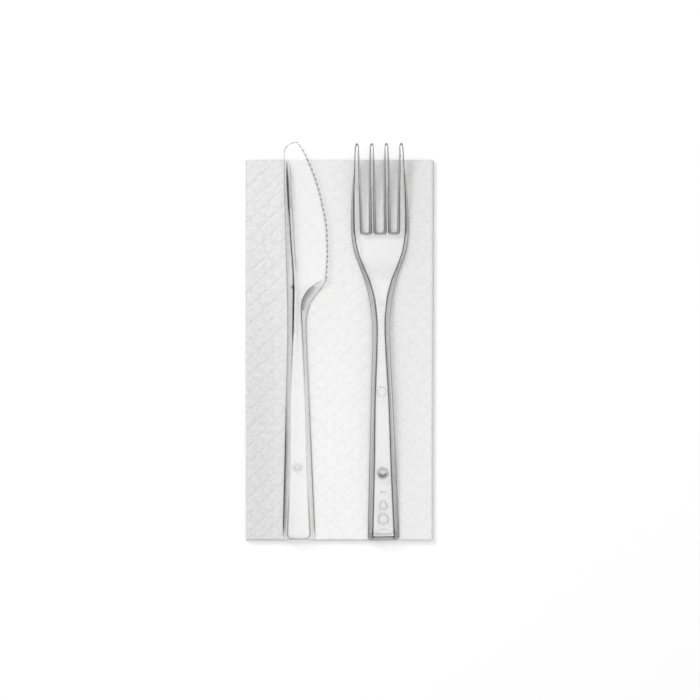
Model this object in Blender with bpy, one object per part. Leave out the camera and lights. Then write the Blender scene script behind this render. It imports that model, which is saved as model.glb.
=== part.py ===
"""Clear moulded knife and fork lying side by side on a folded paper napkin.

+X is to the right, +Y is towards the blade's tip and the tines, and +Z is up. The origin is the middle of
the napkin's underside. All sizes are in metres, and a distance along a piece is from its tip.
"""

import math
from dataclasses import dataclass

import bmesh
import bpy
import numpy as np

# Napkin: one sheet, folded in half three times.
SHEET_WIDTH = 0.3245
SHEET_LENGTH = 0.3300
SHEET_THICKNESS = 0.00022
LAYER_GAP = 0.00020
FLAT_STEPS = 5
BEND_STEPS = 6

# What the two mouldings share.
RESTING_GAP = 0.0003
EDGE_ROUND = 0.00018
RIM_LIP = 0.00035
SKIRT_FOOT = 0.00095
SKIRT_FLARE = 1.3
CHANNEL_INSET = 0.00035
END_FACE = 0.0009
STATION_LEAST = 0.00006

# Knife: where its axis lies, and its blade.
KNIFE_TIP_X = -0.01961
KNIFE_TIP_Y = 0.09029
KNIFE_LEAN = math.radians(0.54)
KNIFE_LENGTH = 0.1738
BLADE_LENGTH = 0.0594
BLADE_BACK = 0.00474
BLADE_HEEL = 0.01335
HEEL_LENGTH = 0.0045
BLADE_THICKNESS = 0.00140
TIP_OFFSET = 0.00065
TIP_LAND = 0.00075
TIP_DEPTH = 0.0044
TOOTH_PITCH = 0.00227
TOOTH_DEPTH = 0.00042
TOOTH_STEPS = 4
BEVEL_WIDTH = 0.00080
BLADE_BACK_INSET = 0.00140
KNIFE_HEIGHT = 0.0032
KNIFE_TIP_HEIGHT = 0.0018
KNIFE_NECK_AT = 0.0785
KNIFE_NECK_HALF = 0.00410
KNIFE_SWAY = 0.00017
KNIFE_GRIP_AT = 0.1119
KNIFE_GRIP_HALF = 0.00512
KNIFE_END_HALF = 0.00715
KNIFE_END_RADIUS = 0.0037
KNIFE_PLATE_RADIUS = 0.0021
KNIFE_END_SLOPE = 0.0017
KNIFE_END_WALL = 0.0032
KNIFE_GATE_AT = 0.1411
KNIFE_GATE_RADIUS = 0.00118
KNIFE_GATE_RING = 0.0021

# Fork: where its axis lies, its tines and its outline.
FORK_TIP_X = 0.01693
FORK_TIP_Y = 0.08968
FORK_LEAN = math.radians(0.66)
FORK_LENGTH = 0.1723
TINE_PITCH = 0.00640
TINE_TIP_HALF = 0.00045
TINE_HALF = 0.00137
TINE_ROOT_HALF = 0.00165
OUTER_TINE_EXTRA = 0.00062
TINE_POINT_LENGTH = 0.0090
TINE_BEVEL_LENGTH = 0.0057
GAP_ROOT_AT = 0.0386
GAP_DRAFT = 0.00115
GAP_ROOT_RADIUS = 0.0010
GAP_ROOT_DRAFT = 0.0007
GAP_CLEAR = 0.0003
HEAD_AT = 0.0360
HEAD_HALF = 0.01252
FORK_NECK_AT = 0.0805
FORK_NECK_HALF = 0.00380
FORK_GRIP_AT = 0.1119
FORK_GRIP_HALF = 0.00485
FORK_END_HALF = 0.0069
FORK_END_RADIUS = 0.0017
FORK_PLATE_RADIUS = 0.0009
FORK_END_SLOPE = 0.0016
FORK_END_WALL = 0.0030
FORK_PLATE_THICKNESS = 0.00150
TINE_TIP_THICKNESS = 0.00075
TINE_THICKNESS = 0.00170
HEAD_DEPTH = 0.0024
FORK_DEPTH = 0.0031
TIP_LIFT = 0.0072
NECK_LIFT = 0.0030
BOWL_REST_AT = 0.0520
HOLLOW_START_AT = 0.0400
HOLLOW_RAMP = 0.0200
PIN_MARK_AT = 0.1076
PIN_MARK_RADIUS = 0.0018
THROAT_MARK_AT = 0.0696
THROAT_MARK_RADIUS = 0.0009
FORK_GATE_AT = 0.1429
FORK_GATE_RADIUS = 0.0020
FORK_GATE_RING = 0.0024
MARK_DEPTH = 0.00025
GATE_DEPTH = 0.00055


@dataclass(frozen=True)
class Section:
    """One cross-section of a moulding: a plate on top, with a skirt down its left and its right side.

    Left and right pairs hold the x of the plate's edges, the x of the skirts' outer feet, the z of those
    feet, the z of their inner corners, and how far the channel's corners lie inside the plate's edges. A
    blade's edge is a right skirt whose foot is level with the plate.
    """

    along: float
    plate: tuple
    rim: tuple
    foot: tuple
    inner_foot: tuple
    inset: tuple
    top: float
    under: float

    def ring(self):
        """The section's corners, from the left skirt's foot over the plate and back along the underside."""
        left, right = self.rim
        wide = right - left
        land = min(SKIRT_FOOT, wide / 5)
        under_left = max(self.plate[0] + self.inset[0], left + SKIRT_FLARE * land)
        under_right = min(self.plate[1] - self.inset[1], right - SKIRT_FLARE * land)
        middle = (left + right) / 2
        under_left = min(under_left, middle - wide / 20)
        under_right = max(under_right, middle + wide / 20)
        soft = min(EDGE_ROUND, wide / 20)
        corners = (
            (left, self.foot[0]),
            (left, self.foot[0] + RIM_LIP),
            (self.plate[0] - soft, self.top - soft),
            (self.plate[0] + soft, self.top),
            (self.plate[1] - soft, self.top),
            (self.plate[1] + soft, self.top - soft),
            (right, self.foot[1] + RIM_LIP),
            (right, self.foot[1]),
            (right - land, self.inner_foot[1]),
            (under_right, self.under),
            (under_left, self.under),
            (left + land, self.inner_foot[0]),
        )
        return [(x, -self.along, z) for x, z in corners]


def smooth(knots):
    """A smooth curve through (position, value) knots, which never swings past two neighbouring values."""
    at = np.array([knot[0] for knot in knots])
    value = np.array([knot[1] for knot in knots])
    step = np.diff(at)
    rise = np.diff(value) / step
    slope = np.concatenate([rise[:1], np.zeros(len(rise) - 1), rise[-1:]])
    before, after = rise[:-1], rise[1:]
    agree = before * after > 0
    total = np.where(agree, before + after, 1.0)
    slope[1:-1] = np.where(agree, 2 * before * after / total, 0.0)

    def curve(x):
        x = np.clip(x, at[0], at[-1])
        i = np.clip(np.searchsorted(at, x) - 1, 0, len(step) - 1)
        t = (x - at[i]) / step[i]
        start = (1 + 2 * t) * (1 - t) ** 2 * value[i] + t * (1 - t) ** 2 * step[i] * slope[i]
        end = t**2 * (3 - 2 * t) * value[i + 1] - t**2 * (1 - t) * step[i] * slope[i + 1]
        return start + end

    return curve


def ramp(x, start, end):
    """0 before start, 1 after end, and straight between them."""
    return float(np.clip((x - start) / (end - start), 0.0, 1.0))


def eased(x, start, end):
    """0 before start, 1 after end, and 3t^2 - 2t^3 between them."""
    t = ramp(x, start, end)
    return t * t * (3 - 2 * t)


def mix(a, b, share):
    return a + (b - a) * share


def corner_loss(along, end, radius):
    """How far a round corner of this radius has pulled a side in, near the end of a piece."""
    past = np.clip((along - (end - radius)) / radius, 0.0, 1.0)
    return radius * (1 - math.sqrt(1 - past**2))


def round_stations(end, radius, steps):
    """Stations that follow a round corner in equal turns."""
    return [end - radius + radius * math.sin(k * math.pi / 2 / steps) for k in range(steps + 1)]


def spaced(stations, least):
    """The stations in order, leaving out any that lies closer than this to the one before it."""
    kept = []
    for station in sorted(stations):
        if not kept or station - kept[-1] > least:
            kept.append(station)
    return kept


def new_object(name, shape, colour, roughness, clear=0.0):
    """A smooth-shaded object from a bmesh, with a material of its own."""
    mesh = bpy.data.meshes.new(name)
    shape.to_mesh(mesh)
    shape.free()
    mesh.shade_smooth()
    mesh.set_sharp_from_angle(angle=math.radians(30))
    made = bpy.data.objects.new(name, mesh)
    bpy.context.scene.collection.objects.link(made)
    material = bpy.data.materials.new(name)
    material.use_nodes = True
    shader = material.node_tree.nodes["Principled BSDF"]
    shader.inputs["Base Color"].default_value = (*colour, 1.0)
    shader.inputs["Roughness"].default_value = roughness
    shader.inputs["Metallic"].default_value = 0.0
    shader.inputs["Transmission Weight"].default_value = clear
    mesh.materials.append(material)
    return made


def loft(shape, rings):
    """Skins closed rings of points one after the other, and closes both ends."""
    loops = [[shape.verts.new(point) for point in ring] for ring in rings]
    for near, far in zip(loops, loops[1:]):
        for i in range(len(near)):
            j = (i + 1) % len(near)
            shape.faces.new((near[i], near[j], far[j], far[i]))
    bmesh.ops.triangulate(shape, faces=shape.faces)
    shape.faces.new(loops[0][::-1])
    shape.faces.new(loops[-1])


def cut_from(made, cutter):
    """Takes a cutter's shape out of an object."""
    cutter.hide_render = True
    cutter.display_type = "WIRE"
    cutter.parent = made
    boolean = made.modifiers.new(cutter.name, "BOOLEAN")
    boolean.operation = "DIFFERENCE"
    boolean.solver = "EXACT"
    boolean.object = cutter


def cutter_object(name, shape):
    bmesh.ops.recalc_face_normals(shape, faces=shape.faces)
    mesh = bpy.data.meshes.new(name)
    shape.to_mesh(mesh)
    shape.free()
    cutter = bpy.data.objects.new(name, mesh)
    bpy.context.scene.collection.objects.link(cutter)
    return cutter


def stack_height(layers):
    """How thick a stack of layers is, with the gaps between them."""
    return layers * SHEET_THICKNESS + (layers - 1) * LAYER_GAP


def bend_radii(layers):
    """(outer radius, middle radius) of a fold that turns this many layers over onto themselves."""
    outer = stack_height(layers) + LAYER_GAP / 2
    return outer, outer - stack_height(layers) / 2


def folded(points, across, line, layers):
    """Folds everything past a line up and over, round a half cylinder that keeps the layers apart.

    A point that lies a distance s past the line turns by s over the middle radius, and a point past the
    whole bend comes back upside down above the rest.
    """
    outer, middle = bend_radii(layers)
    past = points[:, across] - line
    turn = np.clip(past / middle, 0.0, math.pi)
    beyond = np.maximum(past - math.pi * middle, 0.0)
    out = outer - points[:, 2]
    moved = points.copy()
    moved[:, across] = np.where(past > 0, line + out * np.sin(turn) - beyond, points[:, across])
    moved[:, 2] = np.where(past > 0, outer - out * np.cos(turn), points[:, 2])
    return moved


def stops(start, end, steps):
    return list(np.linspace(start, end, steps + 1))


def napkin():
    """One sheet: folded in half sideways, then upwards from the bottom edge, then sideways again."""
    outer_1, middle_1 = bend_radii(1)
    outer_2, middle_2 = bend_radii(2)
    outer_4, middle_4 = bend_radii(4)
    bend_1, bend_2, bend_4 = (math.pi * r for r in (middle_1, middle_2, middle_4))
    line_1 = (SHEET_WIDTH - bend_1) / 2
    line_2 = (SHEET_LENGTH - bend_2) / 2
    line_4 = (line_1 + outer_1 - bend_4) / 2
    back = 2 * line_1 + bend_1
    across = stops(0, line_4, FLAT_STEPS) + stops(line_4, line_4 + bend_4, BEND_STEPS)
    across += stops(line_4 + bend_4, line_1, FLAT_STEPS) + stops(line_1, back - line_1, BEND_STEPS)
    across += [back - x for x in across if x <= line_1 and x >= back - SHEET_WIDTH]
    across += [SHEET_WIDTH]
    across = spaced(across, SHEET_THICKNESS / 4)
    upward = stops(0, line_2, 2 * FLAT_STEPS) + stops(line_2, line_2 + bend_2, BEND_STEPS)
    upward += stops(line_2 + bend_2, SHEET_LENGTH, 2 * FLAT_STEPS)
    upward = spaced(upward, SHEET_THICKNESS / 4)
    shape = bmesh.new()
    wide, tall = len(across), len(upward)
    flat = np.array([(x, y, z) for z in (0.0, SHEET_THICKNESS) for y in upward for x in across])
    placed = folded(flat, 0, line_1, 1)
    placed = folded(placed, 1, line_2, 2)
    placed = folded(placed, 0, line_4, 4)
    width = line_4 + outer_4
    length = line_2 + outer_2
    placed[:, 0] -= width / 2
    placed[:, 1] = length / 2 - placed[:, 1]
    points = [shape.verts.new(point) for point in placed]

    def point(x, y, z):
        return points[(z * tall + y) * wide + x]

    for y in range(tall - 1):
        for x in range(wide - 1):
            for z in (0, 1):
                shape.faces.new([point(x + i, y + j, z) for i, j in ((0, 0), (1, 0), (1, 1), (0, 1))])
    for y in range(tall - 1):
        for x in (0, wide - 1):
            shape.faces.new((point(x, y, 0), point(x, y + 1, 0), point(x, y + 1, 1), point(x, y, 1)))
    for x in range(wide - 1):
        for y in (0, tall - 1):
            shape.faces.new((point(x, y, 0), point(x + 1, y, 0), point(x + 1, y, 1), point(x, y, 1)))
    bmesh.ops.recalc_face_normals(shape, faces=shape.faces)
    return new_object("napkin", shape, (0.93, 0.93, 0.92), 0.9)


KNIFE_EDGE = smooth((
    (0.0, TIP_OFFSET + TIP_LAND),
    (0.0035, 0.00390),
    (0.0122, 0.00779),
    (0.0187, 0.01003),
    (0.0253, 0.01171),
    (0.0384, 0.01393),
    (0.0470, 0.01418),
    (BLADE_LENGTH, BLADE_HEEL),
    (0.0631, 0.01132),
    (0.0674, 0.00785),
    (0.0709, 0.00580),
    (KNIFE_NECK_AT, KNIFE_NECK_HALF + KNIFE_SWAY),
    (KNIFE_GRIP_AT, KNIFE_GRIP_HALF + KNIFE_SWAY),
    (KNIFE_LENGTH, KNIFE_END_HALF + KNIFE_SWAY),
))
KNIFE_EDGE_PLATE = smooth((
    (BLADE_LENGTH, BLADE_HEEL - BEVEL_WIDTH),
    (0.0606, 0.01045),
    (0.0623, 0.00770),
    (0.0645, 0.00500),
    (0.0694, 0.00255),
    (0.0750, 0.00215),
    (0.0818, 0.00245),
    (0.1035, 0.00324),
    (0.1467, 0.00420),
    (KNIFE_LENGTH, KNIFE_END_HALF - 0.0020),
))
KNIFE_BACK = smooth((
    (0.0, BLADE_BACK),
    (0.0163, BLADE_BACK),
    (0.0423, 0.00443),
    (0.0700, 0.00396),
    (KNIFE_NECK_AT, KNIFE_NECK_HALF - KNIFE_SWAY),
    (KNIFE_GRIP_AT, KNIFE_GRIP_HALF - KNIFE_SWAY),
    (KNIFE_LENGTH, KNIFE_END_HALF - KNIFE_SWAY),
))
KNIFE_BACK_SKIRT = smooth((
    (0.0, 0.00060),
    (0.0122, 0.00125),
    (0.0253, 0.00172),
    (0.0423, 0.00234),
    (0.0597, 0.00298),
    (0.0731, 0.00262),
    (KNIFE_GRIP_AT, 0.0019),
    (0.1467, 0.0023),
    (KNIFE_LENGTH, 0.0021),
))
BLADE_LIFT = smooth(((0.0, KNIFE_HEIGHT - KNIFE_TIP_HEIGHT), (BLADE_LENGTH, 0.0)))


def tooth(along_edge):
    """How far the edge lies inside its teeth's points: a row of small hollows that meet in points."""
    return TOOTH_DEPTH * abs(math.sin(math.pi * along_edge / TOOTH_PITCH))


def toothed_stations():
    """Places along the blade, TOOTH_STEPS to each tooth of equal length along the edge, and that length."""
    fine = np.linspace(0.0, BLADE_LENGTH, 1200)
    travelled = np.concatenate([[0.0], np.cumsum(np.hypot(np.diff(fine), np.diff(KNIFE_EDGE(fine))))])
    teeth = int(travelled[-1] / TOOTH_PITCH)
    lengths = np.arange(teeth * TOOTH_STEPS + 1) * TOOTH_PITCH / TOOTH_STEPS
    return {float(np.interp(length, travelled, fine)): float(length) for length in lengths}


def knife_section(along, edge_length, end):
    """The knife's section: a blade with a skirt along its back, which becomes a channel-shaped handle."""
    slope = ramp(along, end - KNIFE_END_SLOPE, end)
    height = mix(KNIFE_HEIGHT, END_FACE, slope)
    in_blade = 1 - eased(along, BLADE_LENGTH, BLADE_LENGTH + HEEL_LENGTH)
    back = float(KNIFE_BACK(along)) - corner_loss(along, end, KNIFE_END_RADIUS)
    edge = float(KNIFE_EDGE(along)) - corner_loss(along, end, KNIFE_END_RADIUS)
    plate_end = end - KNIFE_END_SLOPE
    plate_loss = corner_loss(along, plate_end, KNIFE_PLATE_RADIUS)
    back_plate = back - float(KNIFE_BACK_SKIRT(along))
    if along < TIP_DEPTH:
        pulled = math.sqrt(1 - (1 - along / TIP_DEPTH) ** 2)
        back = mix(-TIP_OFFSET, BLADE_BACK, pulled)
        back_plate = back - mix(0.1, 1.0, pulled) * float(KNIFE_BACK_SKIRT(along))
    if along < BLADE_LENGTH:
        bevel = min(BEVEL_WIDTH, (edge + back) / 5)
        edge_plate = edge - bevel
        edge -= tooth(edge_length) if edge_length is not None else 0.0
    else:
        edge_plate = float(KNIFE_EDGE_PLATE(along))
    if along > plate_end - KNIFE_PLATE_RADIUS:
        back_plate = float(KNIFE_BACK(along)) - float(KNIFE_BACK_SKIRT(along)) - plate_loss
        edge_plate -= plate_loss
        back_plate = mix(back_plate, back - 2 * EDGE_ROUND, slope)
        edge_plate = mix(edge_plate, edge - 2 * EDGE_ROUND, slope)
    blade_lift = float(BLADE_LIFT(along))
    plate_under = KNIFE_HEIGHT - BLADE_THICKNESS
    hollow = 1 - ramp(along, end - KNIFE_END_WALL, end - KNIFE_END_SLOPE)
    under = plate_under * hollow
    edge_level = KNIFE_HEIGHT - (BLADE_THICKNESS + RIM_LIP) / 2
    return Section(
        along=along,
        plate=(-back_plate, edge_plate),
        rim=(-back, edge),
        foot=(blade_lift, edge_level * in_blade),
        inner_foot=(blade_lift, plate_under * in_blade),
        inset=(mix(CHANNEL_INSET, BLADE_BACK_INSET, in_blade), mix(CHANNEL_INSET, 2 * BEVEL_WIDTH, in_blade)),
        top=height,
        under=under,
    )


def disc_cutter(name, along, radius, level, depth):
    """A short round cutter that sinks a shallow mark of this depth into an underside at this level."""
    shape = bmesh.new()
    tall = depth + KNIFE_HEIGHT / 3
    bmesh.ops.create_cone(shape, cap_ends=True, segments=28, radius1=radius, radius2=radius, depth=tall)
    bmesh.ops.translate(shape, vec=(0.0, -along, level + depth - tall / 2), verts=shape.verts)
    return cutter_object(name, shape)


def ball_cutter(name, along, radius, level, depth):
    """A ball that leaves a round dimple of this radius and depth in an underside at this level."""
    ball = (radius**2 + depth**2) / (2 * depth)
    shape = bmesh.new()
    bmesh.ops.create_uvsphere(shape, u_segments=28, v_segments=40, radius=ball)
    bmesh.ops.translate(shape, vec=(0.0, -along, level + depth - ball), verts=shape.verts)
    return cutter_object(name, shape)


def place(made, x, y, lean):
    """Lays a moulding on the napkin, with its tip here and its handle leaning a little to the right."""
    made.location = (x, y, stack_height(8) + RESTING_GAP)
    made.rotation_euler = (0.0, 0.0, lean)


def knife():
    end = KNIFE_LENGTH
    teeth = toothed_stations()
    stations = list(teeth)
    stations += [TIP_DEPTH * (1 - math.cos(k * math.pi / 18)) for k in range(10)]
    stations += stops(BLADE_LENGTH, KNIFE_NECK_AT, 18) + stops(KNIFE_NECK_AT, end - 0.006, 22)
    stations += round_stations(end - KNIFE_END_SLOPE, KNIFE_PLATE_RADIUS, 5)
    stations += round_stations(end, KNIFE_END_RADIUS, 8)
    stations += [end - KNIFE_END_WALL]
    stations = spaced(stations, STATION_LEAST)
    at = np.array(sorted(teeth))
    lengths = np.array([teeth[station] for station in at])
    rings = []
    for along in stations:
        edge_length = float(np.interp(along, at, lengths)) if along < at[-1] else None
        rings.append(knife_section(along, edge_length, end).ring())
    shape = bmesh.new()
    loft(shape, rings)
    bmesh.ops.recalc_face_normals(shape, faces=shape.faces)
    made = new_object("knife", shape, (0.96, 0.97, 0.97), 0.08, clear=1.0)
    under = KNIFE_HEIGHT - BLADE_THICKNESS
    cut_from(made, disc_cutter("knife_pin_mark", KNIFE_GATE_AT, KNIFE_GATE_RING, under, MARK_DEPTH / 2))
    cut_from(made, disc_cutter("knife_gate", KNIFE_GATE_AT, KNIFE_GATE_RADIUS, under, MARK_DEPTH * 1.5))
    place(made, KNIFE_TIP_X, KNIFE_TIP_Y, KNIFE_LEAN)
    return made


FORK_OUTLINE = smooth((
    (0.0, 1.5 * TINE_PITCH + TINE_TIP_HALF),
    (0.0014, 0.01040),
    (0.0064, 0.01080),
    (0.0116, 0.01100),
    (0.0203, 0.01195),
    (0.0269, 0.01232),
    (HEAD_AT, HEAD_HALF),
    (0.0421, 0.01215),
    (0.0473, 0.01120),
    (0.0534, 0.00905),
    (0.0594, 0.00700),
    (0.0681, 0.00490),
    (FORK_NECK_AT, FORK_NECK_HALF),
    (FORK_GRIP_AT, FORK_GRIP_HALF),
    (FORK_LENGTH, FORK_END_HALF),
))
FORK_SKIRT = smooth((
    (0.0, 0.00010),
    (0.0116, 0.00012),
    (0.0160, 0.00050),
    (0.0269, 0.00105),
    (0.0421, 0.00147),
    (0.0534, 0.00162),
    (0.0594, 0.00206),
    (0.0681, 0.00214),
    (FORK_NECK_AT, 0.00197),
    (FORK_GRIP_AT, 0.00178),
    (0.1467, 0.00206),
    (FORK_LENGTH, 0.00205),
))
FORK_LIFT = smooth((
    (0.0, TIP_LIFT),
    (0.0130, 0.5 * TIP_LIFT),
    (0.0260, 0.18 * TIP_LIFT),
    (GAP_ROOT_AT, 0.035 * TIP_LIFT),
    (BOWL_REST_AT, 0.0),
    (0.0650, 0.4 * NECK_LIFT),
    (FORK_NECK_AT, 0.95 * NECK_LIFT),
    (FORK_GRIP_AT, NECK_LIFT),
    (0.1450, 0.5 * NECK_LIFT),
    (FORK_LENGTH, 0.0),
))
FORK_HEIGHT = smooth((
    (TINE_BEVEL_LENGTH, TINE_THICKNESS),
    (HEAD_AT, HEAD_DEPTH),
    (FORK_NECK_AT, FORK_DEPTH),
    (FORK_LENGTH, FORK_DEPTH),
))
TINE_SIDE = smooth((
    (0.0, TINE_TIP_HALF),
    (0.0005, 0.00072),
    (0.0014, 0.00088),
    (0.0030, 0.00100),
    (TINE_BEVEL_LENGTH, 0.00116),
    (TINE_POINT_LENGTH, TINE_HALF),
    (GAP_ROOT_AT, TINE_ROOT_HALF),
))
OUTER_SIDE_EXTRA = smooth((
    (TINE_POINT_LENGTH, 0.0),
    (GAP_ROOT_AT, OUTER_TINE_EXTRA),
))
TINE_POINT_STATIONS = (0.0, 0.0004, 0.0010, 0.0020, 0.0035, TINE_BEVEL_LENGTH, 0.0072)
GAP_SLANT = smooth((
    (0.0, 0.00012),
    (TINE_BEVEL_LENGTH, 0.00060),
    (TINE_POINT_LENGTH, 0.00085),
    (GAP_ROOT_AT, GAP_DRAFT),
))


def fork_levels(along, end):
    """(foot, underside, top) heights of the fork here, over the level of its resting points."""
    foot = float(FORK_LIFT(along))
    tall = mix(TINE_TIP_THICKNESS, float(FORK_HEIGHT(along)), ramp(along, 0.0, TINE_BEVEL_LENGTH))
    into = eased(along, HOLLOW_START_AT, HOLLOW_START_AT + HOLLOW_RAMP)
    out = ramp(along, end - FORK_END_WALL, end - FORK_END_SLOPE)
    under = mix(0.0, tall - FORK_PLATE_THICKNESS, into * (1 - out))
    tall = mix(tall, END_FACE, ramp(along, end - FORK_END_SLOPE, end))
    return foot, foot + under, foot + tall


def fork_section(along, end):
    """The fork's section: solid where the tines are cut out of it, and a channel from there on."""
    foot, under, top = fork_levels(along, end)
    half = float(FORK_OUTLINE(along)) - corner_loss(along, end, FORK_END_RADIUS)
    plate_end = end - FORK_END_SLOPE
    plate = float(FORK_OUTLINE(along)) - float(FORK_SKIRT(along))
    plate -= corner_loss(along, plate_end, FORK_PLATE_RADIUS)
    plate = mix(plate, half - 2 * EDGE_ROUND, ramp(along, plate_end, end))
    return Section(
        along=along,
        plate=(-plate, plate),
        rim=(-half, half),
        foot=(foot, foot),
        inner_foot=(foot, foot),
        inset=(CHANNEL_INSET, CHANNEL_INSET),
        top=top,
        under=under,
    )


def gap_ring(along, side, end):
    """One ring of a tine gap's cutter: narrow at the tines' feet and wider by the draft at their top."""
    before_root = max(along, 0.0)
    pulled = corner_loss(before_root, GAP_ROOT_AT, GAP_ROOT_RADIUS)
    foot, _, top = fork_levels(before_root, end)
    half = float(TINE_SIDE(before_root))
    left = side * TINE_PITCH - TINE_PITCH / 2 + half + pulled
    right = side * TINE_PITCH + TINE_PITCH / 2 - half - pulled
    left += float(OUTER_SIDE_EXTRA(before_root)) if side < 0 else 0.0
    right -= float(OUTER_SIDE_EXTRA(before_root)) if side > 0 else 0.0
    past = GAP_CLEAR / (top - foot)
    slant = float(GAP_SLANT(before_root))
    root_slant = GAP_ROOT_DRAFT * before_root / GAP_ROOT_AT
    low = -along + root_slant * past
    high = -along - root_slant * (1 + past)
    return [
        (left + slant * past, low, foot - GAP_CLEAR),
        (left - slant * (1 + past), high, top + GAP_CLEAR),
        (right + slant * (1 + past), high, top + GAP_CLEAR),
        (right - slant * past, low, foot - GAP_CLEAR),
    ]


def tine_gaps(end):
    """The cutter for the three gaps, each with round corners at its root."""
    shape = bmesh.new()
    stations = [-TINE_THICKNESS, *TINE_POINT_STATIONS]
    stations += stops(TINE_POINT_LENGTH, GAP_ROOT_AT - GAP_ROOT_RADIUS, 9)
    stations += round_stations(GAP_ROOT_AT, GAP_ROOT_RADIUS, 5)
    stations = spaced(stations, STATION_LEAST)
    for side in (-1, 0, 1):
        loft(shape, [gap_ring(along, side, end) for along in stations])
    return cutter_object("tine_gaps", shape)


def fork():
    end = FORK_LENGTH
    stations = list(TINE_POINT_STATIONS)
    stations += stops(TINE_POINT_LENGTH, GAP_ROOT_AT, 10) + stops(GAP_ROOT_AT, FORK_NECK_AT, 16)
    stations += stops(FORK_NECK_AT, end - 0.004, 24)
    stations += round_stations(end - FORK_END_SLOPE, FORK_PLATE_RADIUS, 4)
    stations += round_stations(end, FORK_END_RADIUS, 5)
    stations += [end - FORK_END_WALL]
    shape = bmesh.new()
    loft(shape, [fork_section(along, end).ring() for along in spaced(stations, STATION_LEAST)])
    bmesh.ops.recalc_face_normals(shape, faces=shape.faces)
    made = new_object("fork", shape, (0.96, 0.97, 0.97), 0.08, clear=1.0)
    cut_from(made, tine_gaps(end))
    marks = (
        ("throat_mark", THROAT_MARK_AT, THROAT_MARK_RADIUS, MARK_DEPTH / 2),
        ("pin_mark", PIN_MARK_AT, PIN_MARK_RADIUS, MARK_DEPTH),
        ("fork_gate_ring", FORK_GATE_AT, FORK_GATE_RING, MARK_DEPTH / 2),
    )
    for name, along, radius, depth in marks:
        _, under, _ = fork_levels(along, end)
        cut_from(made, disc_cutter(name, along, radius, under, depth))
    _, under, _ = fork_levels(FORK_GATE_AT, end)
    cut_from(made, ball_cutter("fork_gate", FORK_GATE_AT, FORK_GATE_RADIUS, under, GATE_DEPTH))
    place(made, FORK_TIP_X, FORK_TIP_Y, FORK_LEAN)
    return made


def main():
    for old in list(bpy.data.objects):
        bpy.data.objects.remove(old, do_unlink=True)
    setting = bpy.data.objects.new("place_setting", None)
    bpy.context.scene.collection.objects.link(setting)
    for made in (napkin(), knife(), fork()):
        made.parent = setting


main()
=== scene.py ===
"""Looks of a clear moulded knife and fork that lie on a folded, embossed paper napkin.

The napkin is one sheet folded three times, and each piece of cutlery is one moulding: a flat plate with a
skirt down each side, open underneath. +X runs from the knife to the fork, +Y towards the blade's tip and
the tines, and +Z is up. Sizes are in metres, and a distance along a moulding is from its tip.
"""

import logging
import math
from collections.abc import Callable
from dataclasses import dataclass
from enum import Enum
from typing import NamedTuple

import bpy
import numpy as np
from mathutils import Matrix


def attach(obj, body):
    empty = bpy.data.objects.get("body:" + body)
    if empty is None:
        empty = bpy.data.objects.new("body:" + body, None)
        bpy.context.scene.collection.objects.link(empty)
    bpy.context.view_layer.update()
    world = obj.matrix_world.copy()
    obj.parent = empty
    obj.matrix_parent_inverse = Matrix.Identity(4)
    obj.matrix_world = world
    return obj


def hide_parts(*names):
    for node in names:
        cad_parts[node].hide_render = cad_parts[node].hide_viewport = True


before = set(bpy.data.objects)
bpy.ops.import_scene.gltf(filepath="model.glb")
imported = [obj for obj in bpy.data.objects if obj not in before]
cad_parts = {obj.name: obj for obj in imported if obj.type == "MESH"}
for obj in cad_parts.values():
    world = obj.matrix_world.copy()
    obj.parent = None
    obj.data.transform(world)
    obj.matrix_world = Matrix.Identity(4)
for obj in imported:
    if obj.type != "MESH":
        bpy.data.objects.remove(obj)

LOG = logging.getLogger("place_setting")

Array = np.ndarray
Value = "Socket | float | int"
Colour = tuple[float, float, float]

WHITE: Colour = (1.0, 1.0, 1.0)
BLACK: Colour = (0.0, 0.0, 0.0)
CURVE_SHARE = 0.42
GUARD_SHARE = 0.48


class Across(Enum):
    """Which way a fold runs: sideways folds turn points in X, and upwards folds turn them in Y."""

    SIDEWAYS = 0
    UPWARDS = 1


class Blend(Enum):
    """How a mark changes the underside of a plate."""

    SUNK = -1.0
    RAISED = 1.0


def maths(operation: str, flipped: bool = False) -> Callable[..., "Socket"]:
    """A method for a socket, which joins it to other sockets or numbers by one Math node.

    Args:
        operation: The Math node's operation.
        flipped: Whether the socket comes after the other value.

    Returns:
        The method.
    """

    def method(self: "Socket", *others: Value) -> "Socket":
        """The Math node's value."""
        operands = (*others, self) if flipped else (self, *others)
        return self.graph.node("ShaderNodeMath", {"operation": operation}, dict(enumerate(operands)))

    return method


class Socket:
    """A shader value that Python's operators work on, each adding the Math node it needs."""

    def __init__(self, graph: "Graph", output: bpy.types.NodeSocket) -> None:
        """Keeps an output of a node, and the graph that new nodes go into."""
        self.graph = graph
        self.output = output

    __add__ = __radd__ = maths("ADD")
    __sub__ = maths("SUBTRACT")
    __rsub__ = maths("SUBTRACT", flipped=True)
    __mul__ = __rmul__ = maths("MULTIPLY")
    __truediv__ = maths("DIVIDE")
    fraction = maths("FRACT")
    size = maths("ABSOLUTE")
    least = maths("MINIMUM")
    most = maths("MAXIMUM")

    def eased(self, low: float, high: float, at_low: float = 0.0, at_high: float = 1.0) -> "Socket":
        """This value mapped smoothly from one range onto another, and held beyond its ends.

        Args:
            low: Where the result is at_low.
            high: Where the result is at_high.
            at_low: The result at and below low.
            at_high: The result at and above high.

        Returns:
            The mapped value.
        """
        inputs = {"Value": self, "From Min": low, "From Max": high, "To Min": at_low, "To Max": at_high}
        return self.graph.node("ShaderNodeMapRange", {"interpolation_type": "SMOOTHSTEP"}, inputs)


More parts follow.
